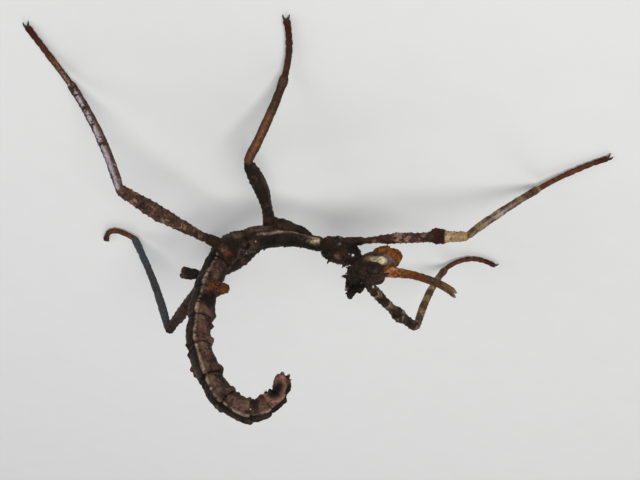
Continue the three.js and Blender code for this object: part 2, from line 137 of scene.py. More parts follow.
# Lobes on the rump: place along the trunk, angle, depth of the root, length, width, lean to the
# tail, kind, the stalk's width as a part of the lobe's, and thickness as a part of its width.
RUMP_LOBES = [(7.95, 62, 0.55, 1.45, 0.8, 0.5, "orange", 0.75, 0.7),
              (8.0, 38, 0.55, 0.7, 0.6, 0.3, "orange", 0.8, 0.7),
              (8.12, 66, 1.3, 0.6, 0.42, 0.6, "orange", 0.7, 0.8),
              (7.45, 255, 0.6, 1.9, 0.74, 0.12, "tipped", 0.24, 0.6),
              (7.5, 262, 1.5, 0.85, 0.46, -0.2, "tipped", 0.7, 0.7)]

# Small lobes at the tail's tip: angle, lean and length.
TAIL_LOBES = [(15, 1.2, 0.6), (-40, 1.2, 0.62), (-70, 1.8, 0.4), (100, 1.5, 0.45), (200, 1.5, 0.5)]

# Low mounds on the abdomen, by kind: place along the trunk, angle, height and width.
KNOBS = {
    "dark": [(9.3, 92, 0.2, 0.6), (9.12, 84, 0.1, 0.5), (14.05, 60, 0.12, 0.5), (14.62, 62, 0.12, 0.5),
             (9.98, -60, 0.1, 0.5), (10.22, -72, 0.13, 0.5), (10.42, -66, 0.08, 0.4),
             (14.88, -92, 0.16, 0.55), (14.72, -76, 0.1, 0.4), (9.25, 246, 0.1, 0.5),
             (10.1, 240, 0.12, 0.5), (12.9, 220, 0.1, 0.5), (13.9, 200, 0.1, 0.5)],
    "plain": [(9.92, 80, 0.06, 0.5), (10.98, 62, 0.08, 0.6), (12.05, 58, 0.08, 0.5),
              (12.2, 66, 0.12, 0.6), (13.02, 70, 0.1, 0.5)],
    "red": [(10.6, -80, 0.16, 0.6), (10.8, -72, 0.1, 0.5), (10.7, 258, 0.14, 0.6)],
    "olive": [(11.95, -72, 0.14, 0.5), (12.12, -60, 0.08, 0.4), (11.95, 230, 0.14, 0.5)],
}

# Short thorns on the thorax: place along the trunk, angle and height. The paired ones have their
# like on the right.
PAIRED_THORNS = [(0.5, 50, 0.2), (0.85, 35, 0.22), (1.3, 62, 0.24), (1.0, 5, 0.16), (1.55, 30, 0.16),
                 (2.75, 68, 0.12), (3.3, 60, 0.14), (3.95, 52, 0.14), (4.5, 66, 0.16),
                 (5.1, 76, 0.2), (4.1, -12, 0.12), (3.0, -40, 0.1)]
LONE_THORNS = [(1.15, 90, 0.14), (4.25, 104, 0.5), (5.45, 80, 0.22), (5.45, 100, 0.2),
               (5.85, 62, 0.16), (5.85, 118, 0.2), (6.2, 86, 0.24), (6.25, 104, 0.16),
               (6.6, 76, 0.18), (6.65, 100, 0.18), (7.0, 92, 0.16), (3.6, -50, 0.1)]
THORN_RADIUS = 0.11
THORN_ROOT = 0.12            # how deep a thorn's root is sunk

# Spines on the left of the head: root, direction, length and radius. The right side has the same.
HEAD_SPINES = [((6.3, 0.3, 8.0), (-0.5, 0.5, 1), 0.8, 0.2),
               ((6.95, 0.34, 7.65), (-0.1, 0.5, 1), 0.62, 0.18),
               ((5.95, 0.4, 7.65), (-1, 0.6, 0.3), 0.34, 0.16),
               ((7.15, 0.45, 7.6), (0.2, 0.5, 1), 0.35, 0.12),
               ((6.1, 0.6, 7.2), (-0.7, 1, 0.2), 0.24, 0.13),
               ((6.6, 0.7, 7.5), (-0.2, 1, 0.6), 0.36, 0.12)]

# The mouth's lobes on the left, and the two horns of the crown: root, direction, length, width
# and thickness.
MOUTHPARTS = [((8.25, 0.34, 5.85), (1, 0.12, 0.1), 0.85, 0.32, 0.3),
              ((8.2, 0.16, 5.72), (0.95, 0, -0.05), 0.6, 0.26, 0.24),
              ((7.6, 0.3, 5.95), (0.9, 0, -0.35), 0.7, 0.5, 0.5),
              ((7.9, 0.55, 6.05), (0.8, 0.1, -0.3), 0.7, 0.5, 0.36)]
HORNS = [((6.8, 0.12, 7.9), (-0.62, 0.1, 1), 1.3, 0.62, 0.44),
         ((6.9, 0, 7.75), (-0.25, -0.1, 1), 0.85, 0.5, 0.4)]

# Lobes under a front femur: place along it, length, width and kind.
THIGH_GROWTHS = [(0.765, 0.5, 0.72, "club"), (0.8, 0.42, 0.5, "club"), (0.73, 0.4, 0.4, "club"),
                 (0.43, 0.36, 0.28, "pink"), (0.3, 0.26, 0.26, "dark"), (0.56, 0.3, 0.26, "dark")]

CLAW_RADIUS = 0.1
CLAW_SPREAD = 38             # how far each claw turns from the foot's heading, in degrees
CLAW_TIP_HEIGHT = 0.04

VOXEL = 0.04         # of the grid that fuses the raw body
RING = 22                    # points round each of its tubes
STEP = 0.12                  # distance between a tube's rings
FINE_STEP = 0.06             # and between those of lobes and spines
CAP_SIZE = 0.62              # the ring that closes a tube's end, as a part of its last ring
CAP_LENGTH = 0.45            # how far it stands off, as a part of the tube's half size


# ---- curves ----

def unit(v):
    v = np.asarray(v, float)
    return v / np.maximum(np.linalg.norm(v, axis=-1, keepdims=True), 1e-9)


def heading(azimuth, slope):
    """Unit vector for a compass heading and a slope, in degrees."""
    a, e = math.radians(azimuth), math.radians(slope)
    return np.array([math.cos(a) * math.cos(e), math.sin(a) * math.cos(e), math.sin(e)])


def spline(points):
    """The smooth curve through some points, as a function of u, which is i at point i."""
    points = np.array(points, float)
    ends = np.vstack([2 * points[0] - points[1], points, 2 * points[-1] - points[-2]])

    def at(u):
        u = np.atleast_1d(np.asarray(u, float))
        i = np.clip(np.floor(u).astype(int), 0, len(points) - 2)
        f = (u - i)[:, None]
        p0, p1, p2, p3 = (ends[i + k] for k in range(4))
        d0, d1, d2 = (np.linalg.norm(b - a, axis=1, keepdims=True) ** 0.5
                      for a, b in ((p0, p1), (p1, p2), (p2, p3)))
        t1 = ((p1 - p0) / d0 - (p2 - p0) / (d0 + d1) + (p2 - p1) / d1) * d1
        t2 = ((p2 - p1) / d1 - (p3 - p1) / (d1 + d2) + (p3 - p2) / d2) * d1
        return (p1 + t1 * f + (3 * (p2 - p1) - 2 * t1 - t2) * f ** 2
                + (t1 + t2 - 2 * (p2 - p1)) * f ** 3)
    return at


def bezier(*control):
    """A quadratic or cubic Bezier curve, as a function of t from 0 to 1."""
    control = np.array(control, float)
    order = len(control) - 1

    def at(t):
        t = np.atleast_1d(np.asarray(t, float))[:, None]
        weights = (math.comb(order, k) * (1 - t) ** (order - k) * t ** k for k in range(order + 1))
        return sum(w * p for w, p in zip(weights, control))
    return at


def along(start, direction, length):
    """A straight curve from a point."""
    start, direction = np.asarray(start, float), unit(direction)
    return bezier(start, start + direction * length / 2, start + direction * length)


def bowed(start, end, bow):
    """A curve between two joints whose middle stands off the chord, to its left and upward."""
    chord = end - start
    left = unit([-chord[1], chord[0], 0])
    up = unit(np.cross(chord, left))
    push = (left * bow[0] + up * bow[1]) / 0.75
    return bezier(start, start + chord / 3 + push, start + chord * 2 / 3 + push, end)


def tapered(table, wide=1, high=None):
    """A tube's half width and half height at u, from a table of (u, half width, half height), or
    of (u, radius), times a half width and a half height.
    """
    at, widths, heights = (np.array(table, float)[:, column] for column in (0, 1, -1))
    return lambda u: (np.interp(u, at, widths) * wide, np.interp(u, at, heights) * (high or wide))


def mirrored(place, side):
    """A place or way given for the left side, on the side asked for."""
    return np.array(place) * (1, side, 1)


HEAD_TURN = np.array(Matrix.Rotation(math.radians(HEAD_ROLL), 3, "X"))
NECK_PIVOT = np.array([0, 0, NECK_HEIGHT])


def in_head(place):
    """A place given for the upright head, moved to where the leaning head has it."""
    return (place - NECK_PIVOT) @ HEAD_TURN.T + NECK_PIVOT


def eye_centre(side):
    return in_head(mirrored(EYE_PLACE, side))


# ---- the raw body ----

class Tube:
    """A closed tube of the raw body, with what is needed to say where on it a point lies.

    Its axis is a curve from first to last, and angles round it run from its side to its top.
    """

    def __init__(self, kind, curve, sizes, side=None, tag="", left=False, first=0, last=1, step=STEP):
        self.kind, self.tag, self.left = kind, tag, left
        rough = curve(np.linspace(first, last, 200))
        length = np.linalg.norm(np.diff(rough, axis=0), axis=1).sum()
        self.u = np.linspace(first, last, max(int(length / step) + 2, 5))
        self.centre = curve(self.u)
        nudge = (last - first) * 1e-3
        before, after = (curve(np.clip(self.u + way * nudge, first, last)) for way in (-1, 1))
        self.ahead = unit(after - before)
        if side is None:
            side = np.stack([-self.ahead[:, 1], self.ahead[:, 0], 0 * self.u], 1)
        self.side = unit(np.broadcast_to(side, self.centre.shape))
        self.top = unit(np.cross(self.ahead, self.side))
        self.s = np.concatenate([[0], np.linalg.norm(np.diff(self.centre, axis=0), axis=1).cumsum()])
        self.wide, self.high = sizes(self.u)

    def turned_over(self):
        """Swaps the tube's top and bottom, so that angles round it run the other way."""
        self.top = -self.top
        return self

    def leant(self):
        """Leans the tube with the head."""
        self.centre = in_head(self.centre)
        self.ahead, self.side, self.top = (v @ HEAD_TURN.T for v in (self.ahead, self.side, self.top))
        return self

    def ring(self, k, scale=1, push=0):
        """The points of ring k, resized, and pushed along the axis by parts of its half size."""
        angle = np.linspace(0, 2 * np.pi, RING, endpoint=False)
        centre = self.centre[k] + self.ahead[k] * push * min(self.wide[k], self.high[k])
        return (centre + np.outer(np.cos(angle) * self.wide[k] * scale, self.side[k])
                + np.outer(np.sin(angle) * self.high[k] * scale, self.top[k]))

    def mesh(self, start):
        """Its points, and its faces with their corners counted from start."""
        rings = [self.ring(0, CAP_SIZE, -CAP_LENGTH)]
        rings += [self.ring(k) for k in range(len(self.u))]
        rings.append(self.ring(-1, CAP_SIZE, CAP_LENGTH))
        last = start + (len(rings) - 1) * RING
        faces = [tuple(start + i for i in range(RING))[::-1]]
        for a in range(start, last, RING):
            for i in range(RING):
                j = (i + 1) % RING
                faces.append((a + i, a + j, a + RING + j, a + RING + i))
        faces.append(tuple(last + i for i in range(RING)))
        return np.concatenate(rings), faces


def joined(tubes):
    """The points and faces of several tubes together."""
    points, faces, start = [], [], 0
    for tube in tubes:
        tube_points, tube_faces = tube.mesh(start)
        points.append(tube_points)
        faces += tube_faces
        start += len(tube_points)
    return np.concatenate(points), faces


def spine(root, direction, length, radius, tag="dark"):
    """A sharp cone, bent a little upward."""
    def sizes(t):
        return radius * (1 - 0.82 * t ** 0.8), radius * (1 - 0.82 * t ** 0.8)
    direction = unit(direction)
    root = np.asarray(root, float)
    tip = root + direction * length + UPRIGHT * 0.06 * length
    side = unit(np.cross(direction, [0.31, 0.45, 0.84]))
    curve = bezier(root, root + direction * length * 0.55, tip)
    return Tube("spine", curve, sizes, side, tag, step=FINE_STEP)


def lobe(root, direction, flat, length, width, thickness, tag, stalk):
    """A leaf-like lobe that swells towards its blunt end, widest along the flat way."""
    def sizes(t):
        swell = stalk + (1 - stalk) * np.sin(np.pi * np.clip(t * 0.86, 0, 1)) ** 0.8
        swell = swell * np.where(t > 0.85, 1 - ((t - 0.85) / 0.15) ** 2 * 0.5, 1)
        return width / 2 * swell, thickness / 2 * swell
    direction = unit(direction)
    side = unit(flat - direction * np.dot(flat, direction))
    return Tube("lobe", along(root, direction, length), sizes, side, tag, step=FINE_STEP)


def trunk_points():
    points = [np.array([x, 0, z]) for x, z in TRUNK]
    for length, pitch, _, _ in ABDOMEN:
        points.append(points[-1] + heading(0, pitch) * length)
    return points


def trunk_sizes():
    """Half width and half height along the trunk: each abdomen length widens to its rear."""
    table = list(THORAX)
    for joint, (_, _, wide, high) in enumerate(ABDOMEN, RUMP):
        table += [(joint + 0.08, wide * 0.93, high * 0.94), (joint + 0.45, wide * 0.96, high * 0.99),
                  (joint + 0.88, wide * 1.04, high * 1.03)]
    table.append((TAIL, ABDOMEN[-1][2] * 0.85, ABDOMEN[-1][3] * 0.85))
    return tapered(table)


TRUNK_CURVE = spline(trunk_points())
TRUNK_SIZES = trunk_sizes()


def on_trunk(u, angle, depth):
    """A place at some distance from the trunk's axis, and the ways out and to the tail."""
    centre = TRUNK_CURVE([u])[0]
    tail = unit(TRUNK_CURVE([min(u + 0.01, TAIL)])[0] - TRUNK_CURVE([u - 0.01])[0])
    back = np.array([tail[2], 0, -tail[0]])
    out = LEFT * math.cos(math.radians(angle)) + back * math.sin(math.radians(angle))
    return centre + out * depth, out, tail


def thorn(u, angle, height):
    """A short spine on the trunk."""
    wide, high = TRUNK_SIZES(u)
    a = math.radians(angle)
    surface = wide * high / math.hypot(high * math.cos(a), wide * math.sin(a))
    point, out, tail = on_trunk(u, angle, surface - THORN_ROOT)
    return spine(point, out + tail * 0.25, height + THORN_ROOT, THORN_RADIUS)


def trunk_lobe(u, angle, depth, length, width, lean, tag, stalk, thickness):
    point, out, tail = on_trunk(u, angle, depth)
    return lobe(point, out + tail * lean, tail, length, width, width * thickness, tag, stalk)


def trunk_knob(u, angle, height, width, tag):
    """A low mound, broad at its foot."""
    def sizes(t):
        radius = width / 2 * np.sqrt(np.clip(1.02 - t ** 2, 0.03, 1))
        return radius, radius * 0.8
    wide, high = TRUNK_SIZES(u)
    point, out, tail = on_trunk(u, angle, (wide + high) / 2 - 0.25)
    return Tube("lobe", along(point, out + tail * 0.25, 0.22 + height), sizes, tail, tag, step=0.05)


def hip_swelling(side):
    """The swollen side plate in front of each middle hip."""
    root, tip = mirrored((3.3, 0.3, 4.6), side), mirrored((0.5, 0.6, 3.66), side)
    return lobe(root, tip - root, UPRIGHT, 3.0, 0.66, 0.62, "plate", 0.3)


def body_tubes():
    """The trunk and neck, with the lobes and spines that grow from the trunk."""
    neck = along((5.9, 0, 5.95), (1, 0, 0.75), 1.5)
    tubes = [Tube("trunk", TRUNK_CURVE, TRUNK_SIZES, LEFT, last=TAIL).turned_over(),
             Tube("neck", neck, tapered([(0, NECK_RADIUS)]), LEFT)]
    tubes += [trunk_lobe(*row) for row in RUMP_LOBES]
    tubes += [trunk_knob(*row, kind) for kind, rows in KNOBS.items() for row in rows]
    tubes += [thorn(u, way, height) for u, angle, height in PAIRED_THORNS for way in (angle, 180 - angle)]
    tubes += [thorn(*row) for row in LONE_THORNS]
    tubes += [hip_swelling(1), hip_swelling(-1)]
    tubes += [trunk_lobe(15.8, angle, 0.15, length, 0.26, lean, "tip", 0.95, 0.9)
              for angle, lean, length in TAIL_LOBES]
    return tubes


def feeler(side):
    root = mirrored(FEELER_ROOT, side)
    first_way, last_way = FEELER_WAYS[side]
    bend = root + heading(*first_way) * FEELER_LENGTH * FEELER_BEND
    tip = bend + heading(*last_way) * FEELER_LENGTH * (1 - FEELER_BEND)
    return Tube("feeler", bezier(root, bend, tip), tapered(FEELER_SIZES))


def head_tubes():
    """The head, its spiny crown, mouthparts and feelers, leaning about the neck."""
    axis = spline([(x, 0, z) for x, z in HEAD])
    tubes = [Tube("head", axis, tapered(HEAD_SIZES), LEFT, last=len(HEAD) - 1).turned_over()]
    for side in (1, -1):
        tubes += [spine(mirrored(root, side), mirrored(way, side), length, radius)
                  for root, way, length, radius in HEAD_SPINES]
        tubes += [lobe(mirrored(root, side), mirrored(way, side), UPRIGHT, *sizes, "mouth", 0.8)
                  for root, way, *sizes in MOUTHPARTS]
        tubes.append(feeler(side))
    tubes += [lobe(root, way, LEFT, *sizes, "horn", 0.7) for root, way, *sizes in HORNS]
    tubes.append(spine((6.3, 0.2, 8.6), (-1, 0.2, 0.45), 0.5, 0.13, "olive"))
    return [tube.leant() for tube in tubes]


def leg_tubes(pair, side):
    """Coxa, femur, tibia and tarsus of one leg, and the place and heading of its toe."""
    femur, tibia, tarsus, deep, wide, shin_radius, foot_radius = LEG_SIZES[pair]
    thigh_way, shin_way, sole_ways, slope, thigh_bow, shin_bow = LEG_POSES[pair, side]
    root = mirrored(LEG_ROOTS[pair], side)
    knee = root + heading(thigh_way, slope) * femur
    shin_slope = -math.degrees(math.asin((knee[2] - ANKLE_HEIGHT) / tibia))
    ankle = knee + heading(shin_way, shin_slope) * tibia
    middle = ankle + heading(sole_ways[0], 0) * tarsus / 2
    middle[2] = FOOT_HEIGHT
    toe = middle + heading(sole_ways[1], 0) * tarsus / 2
    thigh = bowed(root, knee, thigh_bow)
    shin = bowed(knee, ankle, shin_bow)
    foot = bezier(ankle, middle, toe)
    hip_end = COXA_LENGTH / femur
    hip_radius = wide if pair == "front" else wide * 1.02
    whose = {"tag": pair, "left": side > 0}
    tubes = [
        Tube("coxa", thigh, tapered([(0, 1), (hip_end, 0.82)], hip_radius), last=hip_end, **whose),
        Tube("femur", thigh, tapered(FEMUR_PROFILES[pair], wide, deep), first=hip_end * 0.8, **whose),
        Tube("tibia", shin, tapered(SHIN_PROFILE, shin_radius), **whose),
        Tube("tarsus", foot, tapered(FOOT_PROFILE, foot_radius), **whose),
    ]
    if pair == "front":
        tubes += thigh_growths(thigh, side)
    return tubes, (toe, sole_ways[1])


def thigh_growths(thigh, side):
    """The club under a front femur near its knee, and the bumps along its lower edge."""
    growths = []
    for t, length, width, kind in THIGH_GROWTHS:
        ahead = unit(thigh(t + 0.01)[0] - thigh(t - 0.01)[0])
        outward = unit([-ahead[1], ahead[0], 0]) * side
        growths.append(lobe(thigh(t)[0], outward * 0.5 - UPRIGHT, ahead, length, width, 0.3, kind, 0.9))
    return growths


# ---- noise and soft edges ----

def lattice(ix, iy, iz, seed):
    """A repeatable number from 0 to 1 for each whole-numbered place."""
    n = ix * 73856093 ^ iy * 19349663 ^ iz * 83492791 ^ (seed + 11) * 668265263
    n = (n ^ (n >> 13)) * 1274126177
    n = (n ^ (n >> 16)) * 2246822519
    return ((n >> 7) & 0xFFFFFF) / 0xFFFFFF


def noise(points, size, seed):
    """Smooth noise, mostly from -1 to 1, whose largest lumps are size millimetres apart."""
    total, weight, amount = 0, 0, 1.0
    for octave in range(3):
        p = points / size * 2 ** octave + 100.5
        i = np.floor(p).astype(np.int64)
        f = p - i
        f = f * f * (3 - 2 * f)
        value = sum(np.where(corner, f, 1 - f).prod(1) * lattice(*(i + corner).T, seed + octave)
                    for corner in np.ndindex(2, 2, 2))
        total = total + amount * (value * 2 - 1)
        weight += amount
        amount *= 0.55
    return total / weight * 1.6


def grains(points, size, seed):
    """Distance to the nearest of many scattered grains, in grain spacings, and its own number."""
    p = points / size + 200.0
    base = np.floor(p).astype(np.int64)
    nearest = np.full(len(points), 9.0)
    number = np.zeros(len(points))
    for step in np.ndindex(3, 3, 3):
        cell = base + step - 1
        spot = np.stack([lattice(*cell.T, seed + k) for k in range(3)], 1)
        distance = np.linalg.norm(cell + spot - p, axis=1)
        closer = distance < nearest
        nearest[closer] = distance[closer]
        number[closer] = lattice(*cell.T, seed + 3)[closer]
    return nearest, number


def bell(x, width):
    """1 where x is 0, falling smoothly to 0 on both sides."""
    return np.exp(-(x / width) ** 2)


def ramp(x, low, high):
    """0 below low, 1 above high, smooth between."""
    t = np.clip((x - low) / (high - low), 0, 1)
    return t * t * (3 - 2 * t)


def facing(theta, degrees, width):
    """1 where an angle is the stated one, falling smoothly to 0 either way round."""
    return bell(np.abs((theta - np.radians(degrees) + np.pi) % (2 * np.pi) - np.pi), width)


def both_edges(theta, degrees, width):
    """The same for an angle on the left and its mirror image on the right."""
    return facing(theta, degrees, width) + facing(theta, 180 - degrees, width)


# ---- where each point of the skin lies ----

CHUNK = 20000                # points compared with a tube at one time
SUTURE_LAG = 0.08            # how far behind each abdomen joint its suture lies, in joints

# How far the abdomen is twisted about its own axis, in degrees, at places along the trunk.
TWIST = [(7.0, 5), (8.3, -2), (10.3, -7), (10.9, -14), (11.3, -26), (12.2, -38), (13.2, -56), (14.5, -62)]


class Skin:
    """The skin's points. For each, the tube it is on, its place along it (u in the curve's own
    count, s in millimetres), its angle round it, the noise there, and its colour.
    """

    def __init__(self, points, tubes):
        count = len(points)
        self.points = points
        self.misfit = np.full(count, 99.0)
        self.owner = np.zeros(count, int)
        self.u, self.s, self.theta = np.zeros((3, count))
        for number, tube in enumerate(tubes):
            margin = 0.25 + max(tube.wide.max(), tube.high.max())
            inside = (points > tube.centre.min(0) - margin) & (points < tube.centre.max(0) + margin)
            near = np.flatnonzero(inside.all(1))
            for chunk in np.array_split(near, len(near) // CHUNK + 1):
                self.try_tube(number, tube, chunk)
        self.kind, self.tag, self.left = (np.array([getattr(tube, name) for tube in tubes])[self.owner]
                                          for name in ("kind", "tag", "left"))
        self.abdomen = (self.kind == "trunk") & (self.u > RUMP)
        self.thorax = (self.kind == "trunk") & (self.u <= RUMP)
        self.colour = np.tile(UMBER, (count, 1))
        self.coarse, self.fine = noise(points, 0.5, 1), noise(points, 0.15, 7)
        self.wart = np.maximum(0, 1 - grains(points, 0.24, 5)[0] / 0.5) ** 1.5
        self.mottle = noise(points, 0.5, 21), noise(points, 0.15, 31), noise(points, 1.3, 41)

    def try_tube(self, number, tube, chunk):
        """Puts those points of a chunk on a tube that lie nearer its surface than any before."""
        p = self.points[chunk]
        k = ((p[:, None] - tube.centre[None]) ** 2).sum(2).argmin(1)
        away = p - tube.centre[k]
        a, b, c = ((away * way[k]).sum(1) for way in (tube.side, tube.top, tube.ahead))
        reach = np.sqrt((a / tube.wide[k]) ** 2 + (b / tube.high[k]) ** 2)
        beyond = np.maximum(np.abs(c) - 0.75 * STEP, 0) / 0.3
        misfit = np.abs(reach - 1) + beyond
        better = misfit < self.misfit[chunk]
        chosen = chunk[better]
        self.misfit[chosen] = misfit[better]
        self.owner[chosen] = number
        slope = np.gradient(tube.u, tube.s)
        self.u[chosen] = (tube.u[k] + c * slope[k])[better]
        self.s[chosen] = (tube.s[k] + c)[better]
        self.theta[chosen] = np.arctan2(b / tube.high[k], a / tube.wide[k])[better]

    def brush(self, part):
        """What lays a colour on one part of the skin, by an amount from 0 to 1 at each point."""
        def coat(colour, amount):
            amount = (np.clip(amount, 0, 1) * part)[:, None]
            self.colour = self.colour * (1 - amount) + colour * amount
        return coat


def abdomen_place(at):
    """How far along its length of the abdomen each point is, from 0 to 1."""
    return (at.u - RUMP - SUTURE_LAG) % 1.0


def as_left(theta):
    """The angle as if on the left side, in radians."""
    theta = np.where(np.cos(theta) < 0, np.pi - theta, theta)
    return (theta + np.pi) % (2 * np.pi) - np.pi


def untwisted(at):
    """The angle round the abdomen from its own left edge, as if on the left side."""
    u, twist = zip(*TWIST)
    return as_left(at.theta - np.radians(np.interp(at.u, u, twist)))


def tail_marks(at):
    """The dark hollows on the back of the tail's tip and the ridge that loops round them."""
    inside = np.hypot((at.u - 15.05) / 0.62, (untwisted(at) - 0.98) / 0.72)
    tail = at.u > 13.9
    return bell(inside, 0.85) * tail, bell(inside - 1.3, 0.3) * tail


# ---- relief: how far each point is pushed out, in millimetres ----

def abdomen_relief(at):
    """Grooves and swellings at the joints, keels along the sides, and the tail's hollows."""
    theta, place = untwisted(at), abdomen_place(at)
    corner = ramp(place, 0.35, 0.88) * (1 - ramp(place, 0.95, 1.0))
    groove = bell(place, 0.04) + bell(place - 1, 0.025)
    swelling = bell(place - 0.88, 0.1) * (0.35 + 0.65 * ramp(theta, -0.6, 0))
    joint = (0.07 * swelling - 0.1 * groove) * (1 - 0.6 * ramp(at.u, 12, 13))
    keel = bell(theta - 0.03, 0.15) * (0.03 + 0.13 * corner)
    low_keel = bell(theta + 0.84, 0.12)
    midline = bell(theta - np.pi / 2, 0.45) * bell(place - 0.85, 0.12)
    hollow, loop = tail_marks(at)
    push = joint + keel + 0.05 * low_keel + 0.09 * midline - 0.22 * hollow + 0.09 * loop
    return at.abdomen * (push + 0.03 * at.wart + 0.04 * at.coarse + 0.012 * at.fine)


def thorax_relief(at):
    """Ripples behind, warts in front, a keel along the side, and grooves at the joints."""
    rear, front = at.u > HIPS, at.u <= COLLAR
    keel = bell(as_left(at.theta) - 0.03, 0.15)
    ripple = np.sin(at.s * 2 * np.pi / 0.19 + 3 * at.coarse)
    push = rear * (0.022 * ripple + 0.06 * keel + 0.055 * at.coarse + 0.03 * at.wart)
    push = push + ~(rear | front) * (0.05 * keel + 0.03 * at.wart + 0.035 * at.coarse)
    push = push + front * (0.11 * at.wart + 0.07 * at.coarse)
    push = push - 0.1 * bell(at.u - 1.98, 0.06) + 0.05 * bell(at.u - 2.16, 0.08)
    push = push - 0.06 * bell(at.u - 5.0, 0.04) - 0.06 * bell(at.u - RUMP, 0.04)
    return at.thorax * push


def head_relief(at):
    """Warts on the crown, a finer roughness on the face, and a low rim round each eye."""
    crown = 1 - ramp(at.u, 1.2, 2.2)
    push = (0.1 * at.wart + 0.06 * at.coarse) * crown + 0.02 * at.coarse + 0.01 * at.fine
    distances = (np.linalg.norm(at.points - eye_centre(side), axis=1) for side in (1, -1))
    rims = sum(0.03 * bell(distance - EYE_RADIUS, 0.1) for distance in distances)
    return (at.kind == "head") * push + rims


def leg_relief(at):
    """Four edges along each leg, the teeth on them, and the foot's joints."""
    femur, tibia = at.kind == "femur", at.kind == "tibia"
    limb = femur | tibia | (at.kind == "coxa")
    edges = np.cos(4 * (at.theta - np.pi / 4))
    spacing = np.where(at.tag == "front", 0.38, 0.5)
    teeth = np.maximum(0, np.cos(at.s * 2 * np.pi / spacing + 1.3 * at.coarse)) ** 4
    upper, lower = both_edges(at.theta, 45, 0.3), both_edges(at.theta, -45, 0.25)
    joints = sum(bell(at.u - t, 0.02) for t in FOOT_JOINTS)
    push = limb * (0.02 * edges + 0.012 * at.wart + 0.012 * at.coarse)
    push = push + femur * (0.05 * (upper + lower) * teeth + 0.02 * at.coarse)
    return push + tibia * 0.025 * upper * teeth - (at.kind == "tarsus") * 0.03 * joints


def growth_relief(at):
    """The feelers' joints, and the roughness of lobes, spines and mouthparts."""
    joints = np.maximum(0, np.cos(at.s * 2 * np.pi / 0.42)) ** 8 * ramp(at.u, 0.2, 0.3)
    mouth = at.tag == "mouth"
    growth = np.isin(at.kind, ["lobe", "spine"]) & ~mouth
    knobbly = np.isin(at.tag, ["orange", "tipped", "horn"])
    push = (at.kind == "feeler") * (0.012 * at.coarse - 0.018 * joints)
    push = push + growth * (0.03 * at.fine + 0.05 * at.coarse)
    push = push + knobbly * (0.08 * at.wart + 0.05 * at.coarse)
    return push + mouth * (0.03 * at.fine + 0.02 * at.wart)


def relief(at):
    parts = (abdomen_relief, thorax_relief, head_relief, leg_relief, growth_relief)
    return 0.012 * (at.coarse + at.fine) + sum(part(at) for part in parts)


# ---- markings, with painted shade and highlights ----

def tone(code):
    """Linear colour for a hexadecimal one."""
    c = np.array([int(code[i:i + 2], 16) for i in (0, 2, 4)]) / 255
    return np.where(c <= 0.04045, c / 12.92, ((c + 0.055) / 1.055) ** 2.4)


COAL = tone("110e0a")
UMBER = tone("1f1810")
GREEN_BLACK = tone("201f16")
CHOCOLATE = tone("3f2f24")
SLATE = tone("3f454c")
MOSS = tone("3c4420")
OLIVE = tone("5f5328")
KHAKI = tone("6e5535")
DARK_RED = tone("431c14")
RUST = tone("5a2f18")
RUSSET = tone("643619")
RED_BROWN = tone("68402b")
COPPER = tone("8a5a34")
ORANGE = tone("96591f")
SALMON = tone("d08a64")
PLUM = tone("5c4039")
LILAC = tone("715c58")
ROSE = tone("7b5d54")
OLD_ROSE = tone("8a6152")
DUSTY_ROSE = tone("9c7867")
TAN = tone("957a69")
STRAW = tone("977a58")
BEIGE = tone("9c815c")
PALE_KEEL = tone("b5957e")
VIOLET_GREY = tone("b8aab4")
CREAM = tone("dccaa2")
GLINT = tone("f4f0ee")

# The colours of each kind of lobe and spine, from its root to its tip.
GROWTH_COLOURS = {
    "dark": (UMBER, CHOCOLATE),
    "plain": (PLUM, CHOCOLATE),
    "orange": (CHOCOLATE, RUST),
    "tipped": (UMBER, CHOCOLATE),
    "horn": (COAL, GREEN_BLACK),
    "red": (DARK_RED, RED_BROWN),
    "olive": (UMBER, OLIVE),
    "club": (DARK_RED, DARK_RED),
    "pink": (CHOCOLATE, ROSE),
    "tip": (DARK_RED, ROSE),
    "mouth": (RUSSET, RUSSET),
}

# Small bright points on the fore body, where wet grains catch the light.
GLINTS = [(5.30, 0.61, 5.23), (5.38, 0.72, 5.78), (6.34, 0.95, 5.62), (6.22, 0.42, 6.34),
          (4.21, -0.02, 5.95), (5.90, 0.16, 7.63), (7.14, -2.90, 6.41), (5.3, -0.5, 6.1)]


